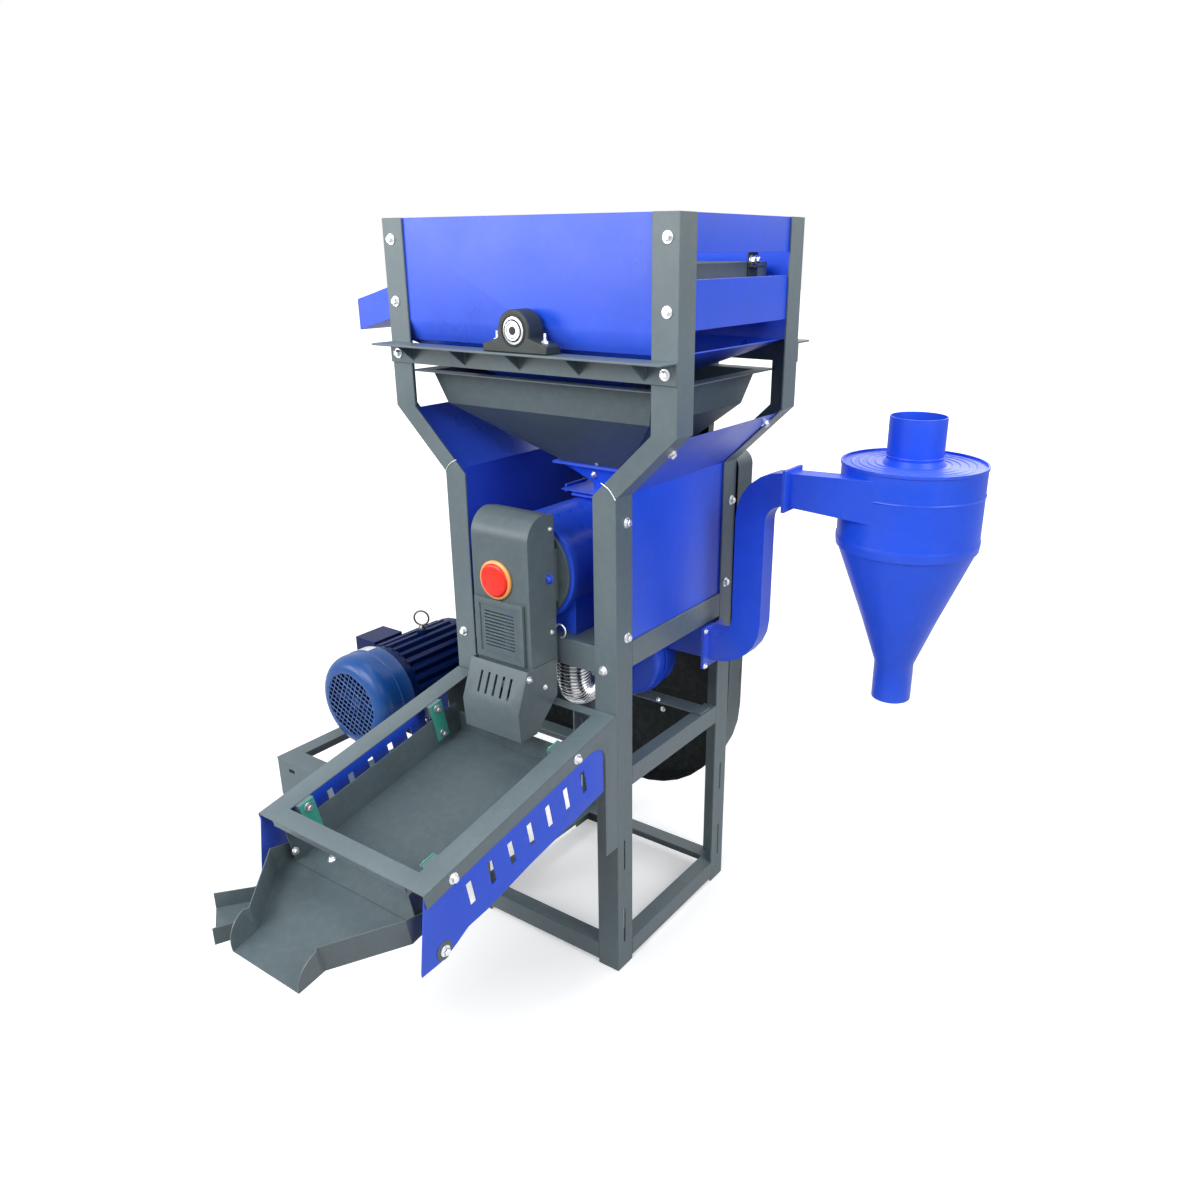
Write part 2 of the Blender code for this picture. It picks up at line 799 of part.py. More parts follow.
def make_shelf():
    half = LEG_HALF - STEEL - GAP
    front = STEEL + GAP
    inner_half = half - RAIL_FLANGE
    top = SHELF_Z
    plate_low = top - STEEL
    edge = rectangle((-inner_half, front), (inner_half, SHELF_DEPTH))
    throat = arc((HOSE_X, HOSE_Y), HOSE_R, 0, 360 - 360 / ROUND_STEPS, ROUND_STEPS - 1)
    deck = plate([edge, throat[::-1]], "z", plate_low, top)
    apron = box((-half, front, top - SHELF_DROP), (half, front + STEEL, top))
    piece("mill_shelf", deck, FRAME_PAINT, joined=[apron])


def make_bearing_rails():
    half = POST_HALF
    low = RAIL_TOP - BEARING_RAIL_HEIGHT
    for name, face, outward in (("bearing_rail_front", 0.0, -1), ("bearing_rail_rear", FRAME_DEPTH, 1)):
        near = face + outward * GAP
        far = face + outward * BEARING_RAIL_DEPTH
        web = near + outward * STEEL
        section = (
            (near, low),
            (near, RAIL_TOP),
            (far, RAIL_TOP),
            (far, RAIL_TOP - STEEL),
            (web, RAIL_TOP - STEEL),
            (web, low),
        )
        rings = [[Vector((x, y, z)) for y, z in section] for x in (-half, half)]
        gussets = []
        tip = far - outward * STEEL
        root = near + outward * STEEL / 2
        top = RAIL_TOP - STEEL / 2
        triangle = [(root, top), (tip, top), (root, low + STEEL)]
        for index in range(GUSSET_COUNT):
            x = (index - (GUSSET_COUNT - 1) / 2) * GUSSET_PITCH
            gussets.append(plate([triangle], "x", x - STEEL / 2, x + STEEL / 2))
        piece(name, loft(rings), FRAME_PAINT, joined=gussets)


def make_pillow_blocks():
    iron = paint("cast_iron_paint", IRON, 0.5)
    height = RAIL_TOP + BEARING_RISE
    for word, middle in (("front", -BEARING_RAIL_DEPTH / 2), ("rear", FRAME_DEPTH + BEARING_RAIL_DEPTH / 2)):
        low = middle - PILLOW_DEPTH / 2
        foot = RAIL_TOP + GAP
        half = PILLOW_BASE / 2
        outline = [(ECCENTRIC_X - half, foot), (ECCENTRIC_X + half, foot)]
        outline += [(ECCENTRIC_X + half, foot + PILLOW_FOOT)]
        outline += arc((ECCENTRIC_X, height), PILLOW_HEAD, -20, 200, SMALL_STEPS * 2)
        outline += [(ECCENTRIC_X - half, foot + PILLOW_FOOT)]
        bore = arc((ECCENTRIC_X, height), ECCENTRIC_SHAFT_R + GAP, 0, 360 - 360 / ROUND_STEPS, ROUND_STEPS - 1)
        body = plate([outline, bore[::-1]], "y", low, low + PILLOW_DEPTH)
        piece(f"pillow_block_{word}", body, iron)


def make_eccentric():
    steel = paint("bright_steel", STEEL_BRIGHT, 0.3, 1.0)
    height = RAIL_TOP + BEARING_RISE
    front = -BEARING_RAIL_DEPTH / 2 - PILLOW_DEPTH / 2 - SHEET
    r = ECCENTRIC_SHAFT_R
    back = SIEVE_BELT_Y + BELT_WIDTH
    stations = [(front, r), (SIEVE_BELT_Y, r), *pulley(ECCENTRIC_PULLEY_R, SIEVE_BELT_Y), (back, r), (back + STEEL, r)]
    shaft = spindle((ECCENTRIC_X, height), stations)
    hubs = []
    for middle in (SIEVE_Y0 + ECCENTRIC_HUB_LENGTH * 2, SIEVE_Y1 - ECCENTRIC_HUB_LENGTH * 2):
        low = middle - ECCENTRIC_HUB_LENGTH / 2
        offset = ECCENTRIC_X + ECCENTRIC_THROW
        hubs.append(
            rod((offset, low, height), (offset, low + ECCENTRIC_HUB_LENGTH, height), ECCENTRIC_HUB_R)
        )
    piece("eccentric_shaft", shaft, steel, ECCENTRIC_AXIS, joined=hubs)


def spindle(centre, stations):
    """A shaft about Y with all that turns on it, from (y, radius) pairs that run front to back."""
    profile = [(0, -stations[0][0])]
    profile += [(radius, -y) for y, radius in stations]
    profile += [(0, -stations[-1][0])]
    return turned(profile, (centre[0], 0, centre[1]), axis=-Y_AXIS)


def pulley(radius, start, grooves=1):
    """Stations of a belt pulley: a flat seat for each belt between flanges."""
    flange = radius + BELT_THICK
    stations = []
    for index in range(grooves):
        low = start + index * BELT_PITCH
        high = low + BELT_WIDTH
        stations += [(low, flange), (low + GAP, radius), (high - GAP, radius), (high, flange)]
    return stations


def clear_of(radius, span, steps):
    """The radius of a faceted arc whose flats stay outside a circle."""
    return radius / math.cos(math.radians(span / steps / 2))


def belt(name, first, first_r, second, second_r, start, carrier_paint):
    """A flat closed belt round two pulleys, in a plane square to Y."""
    first = Vector(first)
    second = Vector(second)
    line = second - first
    heading = math.degrees(math.atan2(line.y, line.x))
    outlines = []
    spread = math.degrees(math.acos((first_r - second_r) / line.length))
    for extra in (BELT_THICK, GAP):
        far_r = clear_of(second_r + extra, 2 * spread, BELT_STEPS)
        near_r = clear_of(first_r + extra, 360 - 2 * spread, BELT_STEPS)
        far = arc(second, far_r, heading - spread, heading + spread, BELT_STEPS)
        near = arc(first, near_r, heading + spread, heading - spread + 360, BELT_STEPS)
        outlines.append(far + near)
    outlines[1].reverse()
    loop = plate(outlines, "y", start + GAP * 2, start + BELT_WIDTH - GAP * 2)
    piece(name, loop, carrier_paint)


def make_belts():
    rubber = paint("belt_rubber", DARK, 0.8)
    mill = (0, MILL_Z)
    belt("main_belt", mill, MILL_PULLEY_R, (MOTOR_X, MOTOR_Z), MOTOR_PULLEY_R, PULLEY_FRONT, rubber)
    second = PULLEY_FRONT + BELT_PITCH
    belt("blower_belt", mill, MILL_PULLEY_R, (BLOWER_X, BLOWER_Z), BLOWER_PULLEY_R, second, rubber)
    third = SIEVE_BELT_Y
    eccentric = (ECCENTRIC_X, RAIL_TOP + BEARING_RISE)
    belt("sieve_belt", mill, MILL_SMALL_R, eccentric, ECCENTRIC_PULLEY_R, third, rubber)


def make_side_panels():
    """Blue sheets inside the legs: upright below the shoulder, sloping with it above."""
    near = STEEL + GAP
    far = FRAME_DEPTH - STEEL - GAP
    for side, word in ((-1, "left"), (1, "right")):
        inner = STEEL + GAP
        wall = []
        for z, drop in ((UPPER_RAIL_TOP + GAP, 0), (LOWER_BEND_Z, 0), (UPPER_BEND_Z - SHEET * 4, 0)):
            wall.append((leg_half(z) - inner, z + drop))
        inside = [(half - SHEET, z) for half, z in reversed(wall)]
        section = wall + inside
        rings = [[Vector((side * half, y, z)) for half, z in section] for y in (near, far)]
        piece(f"side_panel_{word}", loft(rings), BLUE_PAINT)


def make_sieve_panels():
    """Front and rear sheets behind the posts, their lower edge folded inward and down."""
    for name, face, inward in (("sieve_panel_front", 0.0, 1), ("sieve_panel_rear", FRAME_DEPTH, -1)):
        near = face + inward * (STEEL + GAP)
        back = near + inward * SHEET
        tip = near + inward * PANEL_FOLD
        low = RAIL_TOP + PANEL_FOOT
        section = (
            (near, FRAME_HEIGHT - GAP),
            (near, PANEL_BOTTOM),
            (tip, low),
            (tip + inward * SHEET, low),
            (back, PANEL_BOTTOM + SHEET),
            (back, FRAME_HEIGHT - GAP),
        )
        half = POST_HALF - STEEL - GAP
        rings = [[Vector((x, y, z)) for y, z in section] for x in (-half, half)]
        notch_y = (face - inward * OVERRUN, face + inward * (STEEL + PANEL_FOLD + SHEET + OVERRUN))
        slot_half = ECCENTRIC_SHAFT_R + GAP * 4
        height = RAIL_TOP + BEARING_RISE
        notch = box(
            (ECCENTRIC_X - slot_half, min(notch_y), low - OVERRUN),
            (ECCENTRIC_X + slot_half, max(notch_y), height + slot_half),
        )
        ledge_y = sorted((near + inward * SHEET / 2, near + inward * LEDGE_REACH))
        ledge_top = SIEVE_BOTTOM - GAP
        ledge = box((-SIEVE_HALF, ledge_y[0], ledge_top - STEEL), (SIEVE_HALF, ledge_y[1], ledge_top))
        piece(name, loft(rings), BLUE_PAINT, joined=[ledge], cuts=[notch])


def make_sieve_sides():
    """Side sheets of the sieve head: the right one has a long window, the left one ends above the spout."""
    inner = POST_HALF - STEEL - GAP
    y0 = STEEL + GAP + SHEET + GAP
    y1 = FRAME_DEPTH - y0
    top = FRAME_HEIGHT - GAP
    right = rectangle((y0, PANEL_BOTTOM + SHEET), (y1, top))
    window = rectangle((y0 + ANGLE / 2, BAND_GAP_LOW), (y1 - ANGLE / 2, BAND_GAP_HIGH))
    sheet = plate([right, window[::-1]], "x", inner - SHEET, inner)
    piece("sieve_side_right", sheet, BLUE_PAINT)
    left = rectangle((y0, BAND_GAP_HIGH), (y1, top))
    piece("sieve_side_left", plate([left], "x", -inner, -inner + SHEET), BLUE_PAINT)


def make_sieve():
    """The shaken box, its perforated screen, its yoke over the eccentric and the spout on its low side."""
    grey_sheet = paint("sieve_sheet", GREY, 0.5)
    left = -SIEVE_HALF
    right = SIEVE_HALF
    outer = skin(
        [
            level_ring((left, SIEVE_Y0), (right, SIEVE_Y1), SIEVE_BOTTOM),
            level_ring((left, SIEVE_Y0), (right, SIEVE_Y1), SIEVE_TOP),
        ],
        SHEET,
    )
    spout_mouth = box(
        (left - OVERRUN, SPOUT_Y0 + SHEET, SIEVE_BOTTOM - OVERRUN),
        (left + SHEET + OVERRUN, SPOUT_Y1 - SHEET, SIEVE_TOP - SHEET * 4),
    )
    section = (
        (SPOUT_Y0, SPOUT_TOP),
        (SPOUT_Y0, SPOUT_BOTTOM),
        (SPOUT_Y1, SPOUT_BOTTOM),
        (SPOUT_Y1, SPOUT_TOP),
        (SPOUT_Y1 - SHEET, SPOUT_TOP),
        (SPOUT_Y1 - SHEET, SPOUT_BOTTOM + SHEET),
        (SPOUT_Y0 + SHEET, SPOUT_BOTTOM + SHEET),
        (SPOUT_Y0 + SHEET, SPOUT_TOP),
    )
    stations = ((left + SHEET / 2, SPOUT_FALL), (-SPOUT_REACH, 0))
    spout = loft([[Vector((x, y, z + rise)) for y, z in section] for x, rise in stations])
    yokes = []
    height = RAIL_TOP + BEARING_RISE
    for middle in (SIEVE_Y0 + ECCENTRIC_HUB_LENGTH * 2, SIEVE_Y1 - ECCENTRIC_HUB_LENGTH * 2):
        reach = ECCENTRIC_HUB_R + ECCENTRIC_THROW + SIEVE_STROKE + YOKE_CLEARANCE
        for side in (-1, 1):
            x = sorted((ECCENTRIC_X + side * reach, ECCENTRIC_X + side * (reach + YOKE_WALL)))
            low = height - ECCENTRIC_HUB_R
            half = ECCENTRIC_HUB_LENGTH / 2
            yokes.append(box((x[0], middle - half, low), (x[1], middle + half, SIEVE_BOTTOM + SHEET * 2)))
    bars = []
    for middle in (SIEVE_Y0 + ECCENTRIC_HUB_LENGTH * 2, SIEVE_Y1 - ECCENTRIC_HUB_LENGTH * 2):
        half = ECCENTRIC_HUB_LENGTH / 2
        bars.append(
            box((left + SHEET / 2, middle - half, SIEVE_BOTTOM), (right - SHEET / 2, middle + half, SIEVE_BOTTOM + STEEL))
        )
    piece("sieve_box", outer, grey_sheet, SIEVE_SLIDE, joined=[*bars, *yokes, spout], cuts=[spout_mouth])
    z = SIEVE_TOP - SCREEN_DROP
    inset = SHEET + GAP
    low = (left + inset, SIEVE_Y0 + inset)
    high = (right - inset, SIEVE_Y1 - inset)
    slots = []
    pitch = (high[0] - low[0]) / (SCREEN_SLOTS + 1)
    length = (high[1] - low[1]) / 2 - SCREEN_MARGIN
    for row in range(2):
        y0 = low[1] + SCREEN_MARGIN / 2 + row * (length + SCREEN_MARGIN)
        for index in range(SCREEN_SLOTS):
            x = low[0] + (index + 1) * pitch
            slots.append(rectangle((x - SLOT_WIDTH / 2, y0), (x + SLOT_WIDTH / 2, y0 + length))[::-1])
    screen = plate([rectangle(low, high), *slots], "z", z, z + THIN)
    piece("sieve_screen", screen, paint("screen_steel", STEEL_BRIGHT, 0.35, 1.0), SIEVE_SLIDE)


def make_catch_pan():
    """The blue pan under the sieve that funnels clean paddy into the hopper."""
    y0 = STEEL + GAP + PANEL_FOLD + SHEET + GAP
    y1 = FRAME_DEPTH - y0
    middle = FRAME_DEPTH / 2
    mouth = CATCH_MOUTH_HALF
    rings = [
        level_ring((-mouth, middle - mouth), (mouth, middle + mouth), CATCH_BOTTOM),
        level_ring((-CATCH_HALF, y0), (CATCH_HALF, y1), RAIL_TOP + PANEL_FOOT),
    ]
    shell = skin(rings, SHEET)
    piece("catch_pan", shell, BLUE_PAINT)


def make_hopper():
    """The grey paddy hopper: a flat lip, a leaning band and a pyramid down to the outlet."""
    grey_sheet = FRAME_PAINT
    band_low = HOPPER_RIM_Z - HOPPER_BAND
    rings = [
        level_ring((OUTLET_X0, OUTLET_Y0), (OUTLET_X1, OUTLET_Y1), OUTLET_Z),
        level_ring(
            (-HOPPER_HALF + HOPPER_LEAN, HOPPER_Y0 + HOPPER_LEAN),
            (HOPPER_HALF - HOPPER_LEAN, HOPPER_Y1 - HOPPER_LEAN),
            band_low,
        ),
        level_ring((-HOPPER_HALF, HOPPER_Y0), (HOPPER_HALF, HOPPER_Y1), HOPPER_RIM_Z),
        level_ring(
            (-HOPPER_HALF - HOPPER_LIP, STEEL + GAP),
            (HOPPER_HALF + HOPPER_LIP, FRAME_DEPTH - STEEL - GAP),
            HOPPER_RIM_Z + SHEET,
        ),
    ]
    piece("paddy_hopper", skin(rings, SHEET), grey_sheet)


def make_transition():
    """The blue throat from the hopper to the mill, with a flange at each end and the slide gate between plates."""
    top = OUTLET_Z - GAP
    inset = SHEET - WELD_STEP
    flange_low = GATE_Z + GATE_PLATE + GAP
    rings = [
        level_ring((NECK_X0, NECK_Y0), (NECK_X1, NECK_Y1), flange_low + STEEL / 2),
        level_ring((NECK_X0, NECK_Y0), (NECK_X1, NECK_Y1), flange_low + NECK_STRAIGHT),
        level_ring((OUTLET_X0, OUTLET_Y0), (OUTLET_X1, OUTLET_Y1), top - SHEET * 2),
    ]
    upper = plate(
        [
            rectangle((OUTLET_X0 - FLANGE_EDGE, OUTLET_Y0 - FLANGE_EDGE), (OUTLET_X1 + FLANGE_EDGE, OUTLET_Y1 + FLANGE_EDGE)),
            rectangle((OUTLET_X0 + inset, OUTLET_Y0 + inset), (OUTLET_X1 - inset, OUTLET_Y1 - inset))[::-1],
        ],
        "z",
        top - SHEET * 2.5,
        top,
    )
    hole = rectangle((NECK_X0 + inset, NECK_Y0 + inset), (NECK_X1 - inset, NECK_Y1 - inset))[::-1]
    edge = rectangle((NECK_FLANGE_X0, NECK_FLANGE_Y0), (NECK_FLANGE_X1, NECK_FLANGE_Y1))
    lower = plate([edge, hole], "z", flange_low, flange_low + STEEL)
    piece("feed_transition", skin(rings, SHEET), BLUE_PAINT, joined=[upper, lower])
    blade = box((NECK_FLANGE_X0 - GATE_HANDLE, NECK_Y0 - GATE_SIDE, GATE_Z), (NECK_X1 + GATE_SIDE, NECK_Y1 + GATE_SIDE, GATE_Z + GATE_PLATE))
    grip = box(
        (NECK_FLANGE_X0 - GATE_HANDLE - STEEL, NECK_Y0 + GATE_SIDE, GATE_Z - GATE_SIDE),
        (NECK_FLANGE_X0 - GATE_HANDLE + STEEL / 2, NECK_Y1 - GATE_SIDE, GATE_Z + GATE_SIDE),
    )
    steel = paint("gate_steel", STEEL_BRIGHT, 0.35, 1.0)
    piece("slide_gate", blade, steel, GATE_SLIDE, joined=[grip])


def make_mill():
    """The barrel on its cast base, with its feed throat, end disc, perforated screen and ribbed roller."""
    shelf = SHELF_Z + GAP
    seat = GATE_Z - GAP
    barrel = rod((0, BARREL_Y0, MILL_Z), (0, BARREL_Y1, MILL_Z), BARREL_R)
    throat = box((NECK_X0 - STEEL, NECK_Y0 - STEEL, MILL_Z), (NECK_X1 + STEEL, NECK_Y1 + STEEL, seat - STEEL / 2))
    seat_edge = box((NECK_FLANGE_X0, NECK_FLANGE_Y0, seat - STEEL), (NECK_FLANGE_X1, NECK_FLANGE_Y1, seat))
    throat_hole = box((NECK_X0, NECK_Y0, MILL_Z), (NECK_X1, NECK_Y1, seat + OVERRUN))
    hollow = rod(
        (0, BARREL_Y0 + BARREL_WALL, MILL_Z), (0, BARREL_Y1 - BARREL_WALL, MILL_Z), BARREL_R - BARREL_WALL
    )
    ends = rod((0, BARREL_Y0 - OVERRUN, MILL_Z), (0, BARREL_Y1 + OVERRUN, MILL_Z), MILL_SHAFT_R + GAP)
    base = box((-BASE_HALF, BASE_Y0, shelf), (BASE_HALF, BASE_Y1, MILL_Z - BARREL_R / 2))
    drop = box((HOSE_X - HOSE_R * 0.7, BASE_Y0 + BARREL_WALL, shelf - OVERRUN), (HOSE_X + HOSE_R * 0.7, HOSE_Y + HOSE_R * 0.7, MILL_Z))
    bores = []
    for index in range(OIL_HOLES):
        y = OIL_HOLE_Y + index * OIL_HOLE_PITCH
        bores.append(rod((OIL_HOLE_X, y, MILL_Z + BARREL_R / 2), (OIL_HOLE_X, y, MILL_Z + BARREL_R + OVERRUN), OIL_HOLE_R, steps=SMALL_STEPS))
    piece(
        "mill_barrel",
        barrel,
        BLUE_PAINT,
        joined=[base, throat, seat_edge],
        cuts=[hollow, ends, throat_hole, drop, *bores],
    )
    disc_y = BARREL_Y0 - GAP
    hole = arc((0, MILL_Z), MILL_SHAFT_R + GAP, 0, 360 - 360 / ROUND_STEPS, ROUND_STEPS - 1)
    rim = arc((0, MILL_Z), END_DISC_R, 0, 360 - 360 / ROUND_STEPS, ROUND_STEPS - 1)
    disc = plate([rim, hole[::-1]], "y", disc_y - END_DISC_DEPTH, disc_y)
    mouth_low = (COVER_X0 + SHEET + GAP, MILL_Z - MOUTH_HALF)
    mouth_high = (COVER_X1 - SHEET - GAP, MILL_Z + MOUTH_HALF)
    inner_low = (mouth_low[0] + SHEET, mouth_low[1] + SHEET)
    inner_high = (mouth_high[0] - SHEET, mouth_high[1] - SHEET)
    mouth_edges = [rectangle(mouth_low, mouth_high), rectangle(inner_low, inner_high)[::-1]]
    mouth = plate(mouth_edges, "y", COVER_BACK - MOUTH_REACH, disc_y - END_DISC_DEPTH / 2)
    piece("mill_end_disc", disc, FRAME_PAINT, joined=[mouth])
    ring = arc((0, MILL_Z), SCREEN_R, 0, 360 - 360 / ROUND_STEPS, ROUND_STEPS - 1)
    bore = arc((0, MILL_Z), SCREEN_R - THIN, 0, 360 - 360 / ROUND_STEPS, ROUND_STEPS - 1)
    y0 = BARREL_Y0 + BARREL_WALL + GAP
    y1 = BARREL_Y1 - BARREL_WALL - GAP
    screen = plate([ring, bore[::-1]], "y", y0, y1)
    feed = box((-SCREEN_R / 2, NECK_Y0, MILL_Z), (SCREEN_R / 2, NECK_Y1, MILL_Z + SCREEN_R + OVERRUN))
    piece("mill_screen", screen, paint("screen_plate", STEEL_BRIGHT, 0.4, 1.0), cuts=[feed])
    steel = paint("shaft_steel", STEEL_BRIGHT, 0.3, 1.0)
    r = MILL_SHAFT_R
    stations = [(COVER_BACK + SHEET, r), (y0 + BARREL_WALL, r), (y0 + BARREL_WALL, ROLLER_R)]
    stations += [(y1 - BARREL_WALL, ROLLER_R), (y1 - BARREL_WALL, r), (PULLEY_FRONT, r)]
    stations += pulley(MILL_PULLEY_R, PULLEY_FRONT, 2)
    stations += [(PULLEY_FRONT + BELT_PITCH + BELT_WIDTH, r), (SIEVE_BELT_Y, r), *pulley(MILL_SMALL_R, SIEVE_BELT_Y)]
    stations += [(SIEVE_BELT_Y + BELT_WIDTH, r), (SIEVE_BELT_Y + BELT_WIDTH + STEEL, r)]
    piece("husking_roller", spindle((0, MILL_Z), stations), steel, MILL_AXIS)


def make_discharge():
    """The rounded cover over the mill's mouth, its louvred door, its red cap and the hood over the tray."""
    outline = [(COVER_BACK, COVER_BOTTOM), (COVER_FRONT, COVER_BOTTOM)]
    outline += arc((COVER_FRONT + COVER_ROUND, COVER_TOP - COVER_ROUND), COVER_ROUND, 180, 90, SMALL_STEPS)
    outline += [(COVER_BACK, COVER_TOP - COVER_CROWN_FALL)]
    body = plate([outline], "x", COVER_X0, COVER_X1)
    hollow_outline = [(COVER_BACK + OVERRUN, COVER_BOTTOM - OVERRUN), (COVER_FRONT + SHEET, COVER_BOTTOM - OVERRUN)]
    hollow_outline += arc(
        (COVER_FRONT + COVER_ROUND, COVER_TOP - COVER_ROUND), COVER_ROUND - SHEET, 180, 90, SMALL_STEPS
    )
    hollow_outline += [(COVER_BACK + OVERRUN, COVER_TOP - COVER_CROWN_FALL - SHEET * 1.5)]
    hollow = plate([hollow_outline], "x", COVER_X0 + SHEET, COVER_X1 - SHEET)
    window = box(
        (DOOR_X0 + DOOR_LAP, COVER_FRONT - OVERRUN, DOOR_Z0 + DOOR_LAP),
        (DOOR_X1 - DOOR_LAP, COVER_FRONT + SHEET + OVERRUN, DOOR_Z1 - DOOR_LAP),
    )
    piece("discharge_cover", body, FRAME_PAINT, cuts=[hollow, window])
    front = COVER_FRONT - GAP
    door_box = box((DOOR_X0, front - DOOR_DEPTH, DOOR_Z0), (DOOR_X1, front, DOOR_Z1))
    field = box(
        (DOOR_X0 + DOOR_FRAME, front - DOOR_DEPTH - OVERRUN, DOOR_Z0 + DOOR_FRAME),
        (DOOR_X1 - DOOR_FRAME, front - DOOR_DEPTH + SHEET, DOOR_Z1 - DOOR_FRAME),
    )
    louvres = []
    field_low = DOOR_Z0 + DOOR_FRAME + LOUVRE_EDGE
    pitch = (DOOR_Z1 - DOOR_Z0 - 2 * (DOOR_FRAME + LOUVRE_EDGE)) / LOUVRES
    for index in range(LOUVRES):
        low = field_low + index * pitch + (pitch - LOUVRE_SLOT) / 2
        louvres.append(
            box(
                (DOOR_X0 + DOOR_FRAME + LOUVRE_EDGE, front - DOOR_DEPTH, low),
                (DOOR_X1 - DOOR_FRAME - LOUVRE_EDGE, front + OVERRUN, low + LOUVRE_SLOT),
            )
        )
    piece("grille_door", door_box, FRAME_PAINT, DOOR_AXIS, cuts=[field, merged(*louvres)])
    red = paint("red_cap", (0.9, 0.05, 0.01), 0.35)
    face = -CAP_DEPTH
    profile = [(0, 0), (CAP_R * CAP_FACE_SHARE, 0), (CAP_R, face * CAP_EDGE_SHARE), (CAP_R, face + GAP), (0, face + GAP)]
    cap = turned(profile, (CAP_X, COVER_FRONT - CAP_DEPTH, MILL_Z), axis=-Y_AXIS)
    piece("red_cap", cap, red, CAP_AXIS)
    inner = GAP
    rings = []
    for z, y in ((HOOD_BOTTOM, HOOD_BOTTOM_Y), (HOOD_BEND, HOOD_BEND_Y), (HOOD_TOP, HOOD_TOP_Y)):
        back = HOOD_BACK_TOP if z > HOOD_BEND - GAP else HOOD_BACK_LOW
        left = COVER_X0 - inner
        right = COVER_X1 + inner
        rings.append(
            [
                Vector((left - SHEET, back, z)),
                Vector((left - SHEET, y, z)),
                Vector((right + SHEET, y, z)),
                Vector((right + SHEET, back, z)),
                Vector((right, back, z)),
                Vector((right, y + SHEET, z)),
                Vector((left, y + SHEET, z)),
                Vector((left, back, z)),
            ]
        )
    slots = []
    for index in range(HOOD_SLOTS):
        x = (COVER_X0 + COVER_X1) / 2 + (index - (HOOD_SLOTS - 1) / 2) * HOOD_SLOT_PITCH
        slots.append(
            box(
                (x - SLOT_WIDTH / 2, HOOD_BEND_Y - OVERRUN, HOOD_BEND + HOOD_SLOT_MARGIN),
                (x + SLOT_WIDTH / 2, COVER_FRONT - OVERRUN, HOOD_TOP - HOOD_SLOT_MARGIN),
            )
        )
    piece("discharge_hood", loft(rings), FRAME_PAINT, cuts=[merged(*slots)])


def fin_outline():
    """The finned section of the motor's body about its axis."""
    outline = []
    for index in range(FIN_COUNT):
        middle = 360 * index / FIN_COUNT
        step = 360 / FIN_COUNT
        for radius, share in ((BODY_R, -0.45), (FIN_R, -0.18), (FIN_R, 0.18), (BODY_R, 0.45)):
            angle = math.radians(middle + share * step)
            outline.append((MOTOR_X + radius * math.cos(angle), MOTOR_Z + radius * math.sin(angle)))
    return outline


